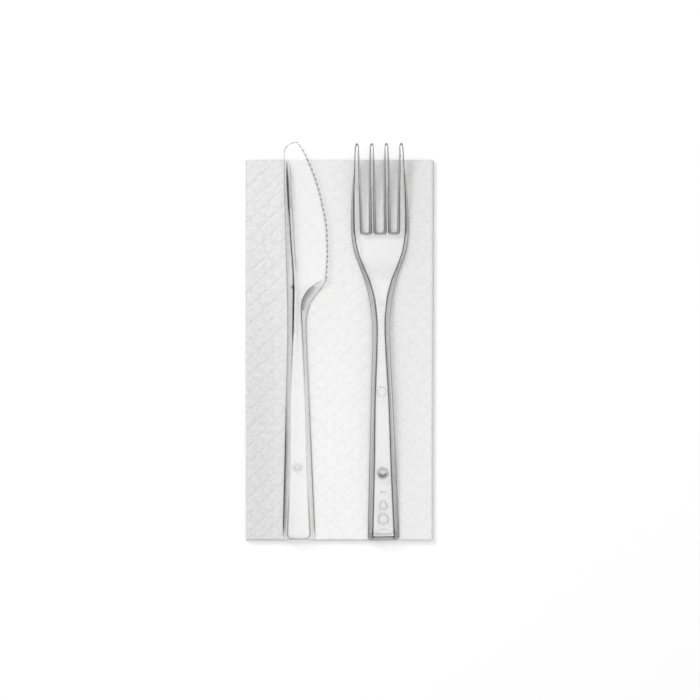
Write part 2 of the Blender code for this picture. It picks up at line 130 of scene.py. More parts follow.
class Graph:
    """The node tree of one material or world, started empty."""

    def __init__(self, tree: bpy.types.NodeTree) -> None:
        """Clears a node tree and keeps it."""
        self.tree = tree
        tree.nodes.clear()

    def node(
        self,
        kind: str,
        settings: dict[str, object] | None = None,
        inputs: dict[str | int, object] | None = None,
        output: str | int = 0,
    ) -> Socket:
        """Adds one node.

        Args:
            kind: The node's type.
            settings: Its properties, set before its sockets; a list of stops for a colour ramp.
            inputs: The values or sockets of its inputs, by name or place.
            output: Which output the result reads.

        Returns:
            The chosen output.
        """
        made = self.tree.nodes.new(kind)
        for name, value in (settings or {}).items():
            setattr(made, name, value)
        for name, value in (inputs or {}).items():
            if isinstance(value, Socket):
                self.tree.links.new(value.output, made.inputs[name])
            else:
                made.inputs[name].default_value = value
        return Socket(self, made.outputs[output])

    def noise(self, place: Socket, scale: float, detail: float, roughness: float) -> Socket:
        """Noise from 0 to 1 at a place."""
        inputs = {"Vector": place, "Scale": scale, "Detail": detail, "Roughness": roughness}
        return self.node("ShaderNodeTexNoise", inputs=inputs)

    def bump(self, height: Socket, depth: float) -> Socket:
        """The normal of a surface with a relief of this depth."""
        return self.node("ShaderNodeBump", inputs={"Height": height, "Strength": 1.0, "Distance": depth})

    def colour(self, share: Socket, first: Colour, second: Colour) -> Socket:
        """The first colour where the share is 0 and the second where it is 1."""
        inputs = {0: share, 6: (*first, 1.0), 7: (*second, 1.0)}
        return self.node("ShaderNodeMix", {"data_type": "RGBA", "blend_type": "MIX"}, inputs, output=2)

    def ray(self, kind: str) -> Socket:
        """1 for rays of one kind, and 0 for all others."""
        return self.node("ShaderNodeLightPath", output=f"Is {kind} Ray")

    def either(self, share: Socket, first: Socket, second: Socket) -> Socket:
        """The first shader where the share is 0 and the second where it is 1."""
        return self.node("ShaderNodeMixShader", inputs={0: share, 1: first, 2: second})

    def end(self, kind: str, surface: Socket) -> None:
        """Adds the tree's output node and gives it the surface shader."""
        self.tree.links.new(surface.output, self.tree.nodes.new(kind).inputs["Surface"])


def new_material(name: str) -> tuple[bpy.types.Material, Graph]:
    """A material of this name and its graph, which is empty."""
    material = bpy.data.materials.new(name)
    material.use_nodes = True
    return material, Graph(material.node_tree)


@dataclass(frozen=True)
class ClearPlastic:
    """Clear, glossy polystyrene, with dark lines painted into its colour where its surface turns: painted
    shade.

    Lamps shine through it, so that what lies under it stays lit, but little of a light that grazes it passes.
    A wall is thin and even, so that a share of what is seen through a steep one is seen straight through.
    """

    UNSHADED = "unshaded"
    WALL = "wall"

    name: str
    tint: Colour = (0.985, 0.988, 0.988)
    # edge is the near-black colour of the painted shade: dark lines painted where the surface turns, on walls
    # and along lines.
    edge: Colour = (0.012, 0.013, 0.014)
    index: float = 1.58
    polish: tuple[float, float] = (0.077, 0.154)
    ripple_size: float = 0.011
    ripple_depth: float = 0.000012
    haze: float = 0.025
    thin_shade: float = 0.955
    steep_shade: float = 0.05
    grazing: tuple[float, float] = (0.25, 0.62)
    straight: float = 0.45
    clear_enough: tuple[float, float] = (0.55, 0.85)
    face_on: tuple[float, float] = (0.03, 0.10)
    edge_on: tuple[float, float] = (0.65, 0.85)

    def material(self) -> bpy.types.Material:
        """Builds the plastic: a refracting shader with painted shade in its colour, slow ripples of flow, and
        a shadow thin under flat plates.

        Returns:
            The finished material.
        """
        material, graph = new_material(self.name)
        flow = graph.noise(graph.node("ShaderNodeTexCoord", output="Object"), 1 / self.ripple_size, 1.0, 0.4)
        unshaded, wall = (
            graph.node("ShaderNodeAttribute", {"attribute_name": name}, output="Fac")
            for name in (self.UNSHADED, self.WALL)
        )
        # Painted shade: the base colour goes from the tint towards the near-black edge colour where the
        # attribute read above falls.
        clear = unshaded * flow.eased(0.25, 0.75, 1 - self.haze, 1.0)
        plastic = graph.node(
            "ShaderNodeBsdfPrincipled",
            inputs={
                "Base Color": graph.colour(clear, self.edge, self.tint),
                "Roughness": flow.eased(0.3, 0.7, *self.polish),
                "IOR": self.index,
                "Transmission Weight": 1.0,
                "Normal": graph.bump(flow, self.ripple_depth),
            },
        )
        facing = graph.node("ShaderNodeLayerWeight", inputs={"Blend": 0.5}, output="Facing")
        thin, dense, through = (
            graph.node("ShaderNodeBsdfTransparent", inputs={"Color": (grey, grey, grey, 1.0)})
            for grey in (self.thin_shade, self.steep_shade, 1.0)
        )
        lost = facing.eased(*self.grazing).most(1.0 - unshaded)
        passing = graph.either(lost, graph.either(wall, thin, through), dense)
        aslant = facing.eased(*self.face_on) * (1.0 - facing.eased(*self.edge_on))
        seen = unshaded.eased(*self.clear_enough) * wall * aslant * self.straight
        plastic = graph.either(seen, plastic, through)
        both = graph.either(graph.ray("Shadow").most(graph.ray("Diffuse")), plastic, passing)
        graph.end("ShaderNodeOutputMaterial", both)
        return material


@dataclass(frozen=True)
class Tissue:
    """White two-ply tissue, embossed with a lattice of diamonds that follows the sheet."""

    name: str
    diamond_width: float = 0.00783
    diamond_height: float = 0.00752
    groove: float = 0.17
    relief: float = 0.00011
    colour: Colour = (0.985, 0.985, 0.982)
    ring_place: float = 0.27
    ring_width: float = 0.045
    fibres: float = 1500.0
    wrinkles: float = 520.0
    clouds: float = 140.0
    # dark_side, dark_end and first_side place painted shade on the sheet; dark_side also raises the relief
    # and the speckle there.
    dark_side: tuple[float, float] = (0.128, 0.158)
    dark_end: tuple[float, float] = (0.0, 0.13)
    first_side: tuple[float, float] = (0.112, 0.088)

    def material(self) -> bpy.types.Material:
        """Builds the tissue: grooves between diamonds, a smaller diamond and a dot in each, and fibres.

        Its colour holds painted shade: a little in the grooves, and more towards one side and one end of the
        sheet.

        The sheet's UV map is in metres. With x and y in diamonds, x + y and x - y are whole numbers on the
        grooves, and half-way between them at a diamond's middle.

        Returns:
            The finished material.
        """
        material, graph = new_material(self.name)
        flat = graph.node("ShaderNodeUVMap", {"uv_map": Napkin.FLAT_MAP})
        u, v = (graph.node("ShaderNodeSeparateXYZ", inputs={"Vector": flat}, output=axis) for axis in "XY")
        x, y = u / self.diamond_width, v / self.diamond_height
        rising, falling = ((way.fraction() - 0.5).size() for way in (x + y, x - y))
        out = rising.most(falling)
        grooves = out.eased(0.5 - self.groove, 0.5, 1.0, 0.0)
        ring = (out - self.ring_place).size().eased(0.0, self.ring_width, 0.45, 1.0)
        dot = (rising + falling).eased(0.03, 0.13, 0.5, 1.0)
        fibre = graph.noise(flat, self.fibres, 3.0, 0.6)
        crepe = graph.noise(flat, self.wrinkles, 2.0, 0.5)
        cloud = graph.noise(flat, self.clouds, 5.0, 0.7)
        side, low = u.eased(*self.dark_side), v.eased(*self.dark_end)
        height = grooves * 0.80 + ring * 0.50 + dot * 0.20 + fibre * 0.70 + crepe * 0.90
        # Painted shade: slow darkens the top layer towards one side and towards one end.
        slow = 0.905 + low * 0.085 - side * low * 0.155 - u.eased(*self.first_side) * 0.06
        speckle = 1.0 - (fibre.eased(0.35, 0.65) + crepe.eased(0.35, 0.65)) * (side * 0.035 + 0.035)
        # The grooves' factor paints a little shade into the emboss's grooves.
        light = cloud.eased(0.3, 0.7, 0.980, 1.0) * grooves.eased(0.0, 1.0, 0.985, 1.0) * speckle * slow
        paper = graph.node(
            "ShaderNodeBsdfPrincipled",
            inputs={
                "Base Color": graph.colour(light, BLACK, self.colour),
                "Roughness": 0.92,
                "Specular IOR Level": 0.2,
                "Sheen Weight": 0.15,
                "Sheen Roughness": 0.6,
                "Normal": graph.bump(height * (1.2 + side * 1.2), self.relief),
            },
        )
        graph.end("ShaderNodeOutputMaterial", paper)
        return material


@dataclass(frozen=True)
class PaleFloor:
    """A matt white surface that shows pure white to the eye where it is fully lit, and keeps its shadows."""

    name: str = "pale_floor"
    colour: float = 0.80
    lift: float = 0.223

    def material(self) -> bpy.types.Material:
        """Builds the floor: plain white, with a little light of its own for rays that start at the eye.

        Returns:
            The finished material.
        """
        material, graph = new_material(self.name)
        seen = (graph.ray("Camera") + graph.ray("Glossy") + graph.ray("Transmission")).least(1.0)
        floor = graph.node(
            "ShaderNodeBsdfPrincipled",
            inputs={
                "Base Color": (self.colour, self.colour, self.colour, 1.0),
                "Roughness": 0.9,
                "Specular IOR Level": 0.0,
                "Emission Color": (*WHITE, 1.0),
                "Emission Strength": seen * self.lift,
            },
        )
        graph.end("ShaderNodeOutputMaterial", floor)
        return material


@dataclass(frozen=True)
class Curve:
    """A smooth curve through (position, value) knots, which never swings past two neighbouring values.

    Between two knots it is the cubic with the harmonic mean of the slopes on both sides of each knot, and
    no slope where the values turn round. Beyond its ends it keeps its end values.
    """

    knots: tuple[tuple[float, float], ...]

    def __call__(self, x: Array | float) -> Array:
        """The curve's values.

        Args:
            x: The positions.

        Returns:
            A value for each position.
        """
        at, value = np.array(self.knots).T
        step = np.diff(at)
        rise = np.diff(value) / step
        before, after = rise[:-1], rise[1:]
        agree = before * after > 0
        total = np.where(agree, before + after, 1.0)
        slope = np.concatenate([rise[:1], np.where(agree, 2 * before * after / total, 0.0), rise[-1:]])
        x = np.clip(x, at[0], at[-1])
        i = np.clip(np.searchsorted(at, x) - 1, 0, len(step) - 1)
        t = (x - at[i]) / step[i]
        start = (1 + 2 * t) * (1 - t) ** 2 * value[i] + t * (1 - t) ** 2 * step[i] * slope[i]
        end = t**2 * (3 - 2 * t) * value[i + 1] - t**2 * (1 - t) * step[i] * slope[i + 1]
        return start + end


def held(*knots: tuple[float, float]) -> Curve:
    """A curve through knots that is level before the first and after the last, with no kink there."""
    (first, low), (last, high) = knots[0], knots[-1]
    return Curve(((first - 1.0, low), *knots, (last + 1.0, high)))


def ramp(x: Array, start: float, end: float) -> Array:
    """0 before start, 1 after end, and straight between them."""
    return np.clip((x - start) / (end - start), 0.0, 1.0)


def eased(x: Array, start: Array | float, end: Array | float) -> Array:
    """0 before start, 1 after end, and 3t² - 2t³ between them."""
    t = ramp(x, start, end)
    return t * t * (3 - 2 * t)


def mix(a: Array | float, b: Array | float, share: Array) -> Array:
    """a where the share is 0 and b where it is 1."""
    return a + (b - a) * share


@dataclass(frozen=True)
class Line:
    """A painted dark line with soft sides: how dark it is, and how far from its middle it starts and ends to
    fade.
    """

    dark: float
    core: float
    reach: float

    def __call__(self, away: Array) -> Array:
        """How dark the line is this far away from its middle."""
        return self.dark * (1 - eased(away, self.core, self.reach))


def corner_loss(along: Array, end: float, radius: float) -> Array:
    """How far a round corner of this radius pulls a side in near its end: radius - the circle's height."""
    past = np.clip((along - (end - radius)) / radius, 0.0, 1.0)
    return radius * (1 - np.sqrt(1 - past**2))


def round_stations(end: float, radius: float, steps: int) -> Array:
    """Stations that follow a round corner in equal turns."""
    return end - radius + radius * np.sin(np.linspace(0.0, math.pi / 2, steps + 1))


def spaced(stations: list[Array], least: float) -> Array:
    """Stations in order, leaving out any that lies closer than this to the one before it.

    Args:
        stations: Groups of stations.
        least: The closest that two may lie.

    Returns:
        The stations left, the last one always among them.
    """
    ordered = np.unique(np.concatenate(stations))
    kept = [ordered[0]]
    for station in ordered[1:-1]:
        if station - kept[-1] > least and ordered[-1] - station > least:
            kept.append(station)
    return np.array([*kept, ordered[-1]])


def rounded(corners: Array, reach: Array, steps: int, guard: float) -> Array:
    """Rounds every corner of closed outlines.

    A corner P between A and B becomes the curve (1 - t)² A + 2t(1 - t) P + t² B, where A and B are first
    moved to lie a reach away from P, or at CURVE_SHARE of the side if that is nearer. One more point on
    each side keeps the bend from shading the flat beside it.

    Args:
        corners: The outlines, as (outline, corner, 2).
        reach: The reach of each corner.
        steps: How many points the curve has.
        guard: How far past the curve the two further points lie.

    Returns:
        The rounded outlines, as (outline, corner, steps + 2, 2).
    """

    def moved(other: Array, extra: float, most: float) -> Array:
        """The corners moved towards others by their reach and more, or by the most share of the side."""
        side = other - corners
        length = np.maximum(np.linalg.norm(side, axis=2, keepdims=True), 1e-9)
        return (corners + side * np.minimum((reach[None, :, None] + extra) / length, most))[:, :, None]

    before, after = np.roll(corners, 1, axis=1), np.roll(corners, -1, axis=1)
    t = np.linspace(0.0, 1.0, steps)[None, None, :, None]
    start, end = moved(before, 0.0, CURVE_SHARE), moved(after, 0.0, CURVE_SHARE)
    curve = (1 - t) ** 2 * start + 2 * t * (1 - t) * corners[:, :, None] + t**2 * end
    ends = moved(before, guard, GUARD_SHARE), moved(after, guard, GUARD_SHARE)
    return np.concatenate([ends[0], curve, ends[1]], axis=2)


def between(start: Array, end: Array, steps: int) -> Array:
    """Points inside the straight lines from starts to ends, as (line, point, 2)."""
    t = np.linspace(0.0, 1.0, steps + 2)[1:-1][None, :, None]
    return start[:, None] * (1 - t) + end[:, None] * t


def from_outline(x: Array, along: Array, sides: tuple[Array, Array], end: float, radius: float) -> Array:
    """How far points lie from an outline whose end is straight, with rounded corners.

    With a and b how far a point lies past the start of a corner, across and along the outline, that is the
    size of hypot(max(a, 0), max(b, 0)) + min(max(a, b), 0) - radius.

    Args:
        x: Places across.
        along: Places along.
        sides: The outline's left and right side at each of them.
        end: Where the outline ends.
        radius: The corners' radius.

    Returns:
        The distance at each place.
    """
    left, right = sides
    a = np.abs(x - (left + right) / 2) - (right - left) / 2 + radius
    b = along - end + radius
    return np.abs(np.hypot(np.maximum(a, 0), np.maximum(b, 0)) + np.minimum(np.maximum(a, b), 0) - radius)


def tube_faces(rings: int, points: int) -> list[list[int]]:
    """The faces of closed rings skinned one after another, with a face over each end.

    They point outwards where a ring runs clockwise as seen from the rings that come after it.

    Args:
        rings: How many rings there are.
        points: How many points a ring has.

    Returns:
        The faces, as lists of point numbers.
    """
    i, j = np.meshgrid(np.arange(rings - 1), np.arange(points), indexing="ij")
    after = (j + 1) % points
    quads = np.stack([(i + 1) * points + j, (i + 1) * points + after, i * points + after, i * points + j], -1)
    last = range((rings - 1) * points, rings * points)
    return [*quads.reshape(-1, 4).tolist(), list(range(points)), list(last)[::-1]]


def added(name: str, data: bpy.types.ID) -> bpy.types.Object:
    """A new object in the scene, at the origin, that shows this data."""
    made = bpy.data.objects.new(name, data)
    bpy.context.scene.collection.objects.link(made)
    return made


def new_object(name: str, points: Array, faces: list[list[int]]) -> bpy.types.Object:
    """A mesh object at the origin with these points and faces."""
    mesh = bpy.data.meshes.new(name)
    mesh.from_pydata(points.tolist(), [], faces)
    return added(name, mesh)


def settled(made: bpy.types.Object) -> bpy.types.Object:
    """Applies an object's modifiers to its mesh.

    Args:
        made: The object.

    Returns:
        The same object.
    """
    graph = bpy.context.evaluated_depsgraph_get()
    mesh = bpy.data.meshes.new_from_object(made.evaluated_get(graph))
    made.modifiers.clear()
    old, made.data = made.data, mesh
    bpy.data.meshes.remove(old)
    return made


def polished(made: bpy.types.Object, angle: float) -> bpy.types.Object:
    """Smooths an object's shading, apart from edges sharper than an angle, with its wide faces kept flat.

    Args:
        made: The object.
        angle: The sharp edges' least angle.

    Returns:
        The same object.
    """
    made.data.shade_smooth()
    made.data.set_sharp_from_angle(angle=angle)
    weighted = made.modifiers.new("even_shading", "WEIGHTED_NORMAL")
    weighted.keep_sharp = True
    return settled(made)


def read(items: bpy.types.bpy_prop_collection, name: str, width: int, kind: type = np.float32) -> Array:
    """One property of each item in a collection.

    Args:
        items: The collection, such as a mesh's vertices.
        name: The property's name.
        width: How many numbers it holds.
        kind: The numbers' type.

    Returns:
        The values, as (item, number), or flat where an item has one number.
    """
    found = np.empty(len(items) * width, dtype=kind)
    items.foreach_get(name, found)
    return found if width == 1 else found.reshape(-1, width)


def upwards(mesh: bpy.types.Mesh) -> Array:
    """The upward part of a mesh's normal at each of its points."""
    return read(mesh.vertex_normals, "vector", 3)[:, 2]


def turning(mesh: bpy.types.Mesh) -> Array:
    """How sharply a surface turns at each of its points.

    It is the widest angle between a point's own normal and the normals of the faces round it.

    Args:
        mesh: The surface.

    Returns:
        An angle for each point.
    """
    corner = read(mesh.loops, "vertex_index", 1, np.int32)
    sizes = read(mesh.polygons, "loop_total", 1, np.int32)
    face_normal = np.repeat(read(mesh.polygons, "normal", 3), sizes, axis=0)
    agreement = np.einsum("ij,ij->i", face_normal, read(mesh.vertex_normals, "vector", 3)[corner])
    least = np.ones(len(mesh.vertices))
    np.minimum.at(least, corner, agreement)
    return np.arccos(np.clip(least, -1.0, 1.0))


class MarkShape(Enum):
    """The outline of a mark on the underside of a plate."""

    DISC = "disc"
    DIMPLE = "dimple"
    RING = "ring"
    BAR = "bar"


@dataclass(frozen=True)
class Mark:
    """A shallow mark on the underside of a plate, sunk into it or standing out from it."""

    shape: MarkShape
    along: float
    radius: float
    depth: float
    blend: Blend = Blend.SUNK
    width: float = 0.00035
    soft: float = 0.00014

    def height(self, x: Array, along: Array) -> Array:
        """How far the mark moves the underside upwards.

        A disc, a ring and a bar are flat with eased sides, and a dimple is the cap of a ball.

        Args:
            x: Places across the plate, from the moulding's axis.
            along: Places along it.

        Returns:
            The upward movement at each place.
        """
        out = np.hypot(x, along - self.along)
        if self.shape is MarkShape.DISC:
            share = 1 - eased(out, self.radius - self.soft, self.radius + self.soft)
        elif self.shape is MarkShape.DIMPLE:
            ball = (self.radius**2 + self.depth**2) / (2 * self.depth)
            cap = np.sqrt(np.maximum(ball**2 - out**2, 0.0)) - (ball - self.depth)
            share = np.maximum(cap, 0.0) / self.depth
        elif self.shape is MarkShape.RING:
            share = 1 - eased(np.abs(out - self.radius), self.width / 2, self.width / 2 + self.soft)
        else:
            off = np.hypot(np.maximum(np.abs(x) - self.radius, 0.0), along - self.along)
            share = 1 - eased(off, self.width / 2, self.width / 2 + self.soft)
        return -self.blend.value * self.depth * share


@dataclass(frozen=True)
class Sections:
    """A moulding's cross-sections: a plate on top, with a skirt down its left and its right side.

    Pairs hold the left and the right side. A blade's edge is a right skirt whose foot is level with the
    plate.
    """

    along: Array
    plate: tuple[Array, Array]
    rim: tuple[Array, Array]
    foot: tuple[Array, Array]
    inner_foot: tuple[Array, Array]
    inset: tuple[Array | float, Array | float]
    top: Array
    under: Array

    def corners(self, lip: float, widest_land: float) -> Array:
        """The outlines' corners, from the left foot over the plate and back along the underside.

        Args:
            lip: How far a skirt's side rises upright from its foot.
            widest_land: How wide a skirt's foot may be.

        Returns:
            The corners, as (section, corner, 2), each an x and a z.
        """
        left, right = self.rim
        wide = right - left
        middle = (left + right) / 2
        land = np.minimum(widest_land, wide / 5)
        under_left = np.maximum(self.plate[0] + self.inset[0], left + 1.3 * land)
        under_right = np.minimum(self.plate[1] - self.inset[1], right - 1.3 * land)
        pairs = (
            (left, self.foot[0]),
            (left, self.foot[0] + lip),
            (self.plate[0], self.top),
            (self.plate[1], self.top),
            (right, self.foot[1] + lip),
            (right, self.foot[1]),
            (right - land, self.inner_foot[1]),
            (np.maximum(under_right, middle + wide / 20), self.under),
            (np.minimum(under_left, middle - wide / 20), self.under),
            (left + land, self.inner_foot[0]),
        )
        return np.stack([np.stack(np.broadcast_arrays(x, z), -1) for x, z in pairs], axis=1)


class Shades(NamedTuple):
    """How much painted shade a moulding has: how unshaded its rounded edges and steep walls are, and how dark
    its further painted lines are.
    """

    edges: Array | float
    walls: Array | float
    lines: Array


@dataclass
class Moulding:
    """What the knife and the fork share: how their plates and skirts are moulded, and where they lie."""

    name: str
    node: str
    tip: tuple[float, float]
    lean: float
    end: float
    end_radius: float
    plate_radius: float
    end_slope: float
    end_wall: float
    gate: float
    spacing: float
    finish: ClearPlastic
    level: float = 0.00346
    lip: float = 0.00035
    land: float = 0.00095
    channel_inset: float = 0.00035
    end_face: float = 0.0009
    plate_margin: float = 0.00036
    end_length: float = 0.007
    closest: float = 0.00001
    corner_steps: int = 5
    guard: float = 0.00008
    top_columns: int = 18
    under_columns: int = 44
    wall_columns: int = 7
    land_columns: int = 3
    sharp: float = math.radians(42)
    turned: tuple[float, float] = (math.radians(2.5), math.radians(6.5))
    facing_down: tuple[float, float] = (-0.8, -0.4)
    steep: tuple[float, float] = (0.08, 0.45)
    wall_from: tuple[float, float] = (0.03, 0.10)
    mark_lines: float = 0.35
    reach: tuple[float, ...] = (
        0.00014, 0.00040, 0.00045, 0.00045, 0.00040, 0.00014, 0.00022, 0.00025, 0.00025, 0.00022,
    )

    @property
    def plate_end(self) -> float:
        """Where the plate ends and the slope down to the end starts."""
        return self.end - self.end_slope

    def end_loss(self, along: Array) -> Array:
        """How far the end's round corners pull the rims in."""
        return corner_loss(along, self.end, self.end_radius)

    def plate_loss(self, along: Array) -> Array:
        """How far the plate's round corners pull its sides in."""
        return corner_loss(along, self.plate_end, self.plate_radius)

    def sections(self, along: Array) -> Sections:
        """The moulding's cross-sections at stations along it."""
        raise NotImplementedError

    def marks(self) -> tuple[Mark, ...]:
        """The marks on its underside."""
        raise NotImplementedError

    def shades(self, points: Array) -> Shades:
        """Its painted shade at points in its own axes."""
        raise NotImplementedError

    def rings(self, sections: Sections) -> Array:
        """The sections' rounded outlines in place along the moulding, with the marks on its underside.

        Args:
            sections: The cross-sections.

        Returns:
            The rings, as (ring, point, 3).
        """
        corners = sections.corners(self.lip, self.land)
        curves = rounded(corners, np.array(self.reach), self.corner_steps, self.guard)
        wall, land, under = self.wall_columns, self.land_columns, 7
        columns = (0, wall, self.top_columns, wall, 0, land, 0, self.under_columns, 0, land)
        after = np.roll(curves, -1, axis=1)
        sides = [between(curves[:, k, -1], after[:, k, 0], count) for k, count in enumerate(columns)]
        along = sections.along[:, None]
        for mark in self.marks():
            sides[under][:, :, 1] += mark.height(sides[under][:, :, 0], along)
        parts = [part for k, side in enumerate(sides) for part in (curves[:, k], side)]
        outline = np.concatenate(parts, axis=1)
        y = np.broadcast_to(-along, outline.shape[:2])
        return np.stack([outline[:, :, 0], y, outline[:, :, 1]], axis=-1)

    def placed(self, points: Array) -> Array:
        """Points laid on the napkin: turned by the lean, with the tip moved to its place.

        Args:
            points: Points in the moulding's own axes.

        Returns:
            The points, as (point, 3).
        """
        cosine, sine = math.cos(self.lean), math.sin(self.lean)
        x, y, z = points.reshape(-1, 3).T
        turned = (x * cosine - y * sine + self.tip[0], x * sine + y * cosine + self.tip[1], z + self.level)
        return np.stack(turned, axis=-1)

    def unplaced(self, points: Array) -> Array:
        """Points on the napkin brought back to the moulding's own axes, with its tip at the origin."""
        cosine, sine = math.cos(self.lean), math.sin(self.lean)
        x, y = points[:, 0] - self.tip[0], points[:, 1] - self.tip[1]
        return np.stack([x * cosine + y * sine, y * cosine - x * sine, points[:, 2] - self.level], axis=-1)

    def unshaded(self, mesh: bpy.types.Mesh) -> Array:
        """How free of painted shade the plastic is at each point: shade is painted at turns, on steep walls
        and along lines.

        Args:
            mesh: The moulding's mesh, on the napkin.

        Returns:
            1 where nothing is painted, down to 0 where the painted shade is darkest.
        """
        up = upwards(mesh)
        turn = eased(turning(mesh), *self.turned)
        turn *= mix(self.mark_lines, 1.0, eased(up, *self.facing_down))
        steep = eased(1 - np.abs(up), *self.steep)
        shades = self.shades(self.unplaced(read(mesh.vertices, "co", 3)))
        return mix(1.0, shades.edges, turn) * mix(1.0, shades.walls, steep) * (1 - shades.lines)

    def moulded(self, stations: list[Array]) -> bpy.types.Object:
        """The bare moulding, skinned over its sections at these stations and laid on the napkin."""
        rings = self.rings(self.sections(spaced(stations, self.closest)))
        return new_object(self.name, self.placed(rings), tube_faces(*rings.shape[:2]))

    def dress(self, made: bpy.types.Object) -> None:
        """Writes its painted shade and its steep walls into attributes, evens its shading, gives it its
        plastic, puts it under the root and hides its node's part.

        Args:
            made: The moulding's object.
        """
        # The first attribute carries the painted shade, and the second says where walls are steep.
        wall = eased(1 - np.abs(upwards(made.data)), *self.wall_from)
        for name, values in ((self.finish.UNSHADED, self.unshaded(made.data)), (self.finish.WALL, wall)):
            attribute = made.data.attributes.new(name, "FLOAT", "POINT")
            attribute.data.foreach_set("value", values.astype(np.float32))
        polished(made, self.sharp)
        made.data.materials.clear()
        made.data.materials.append(self.finish.material())
        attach(made, "root")
        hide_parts(self.node)
        LOG.info("%s: %d faces", made.name, len(made.data.polygons))


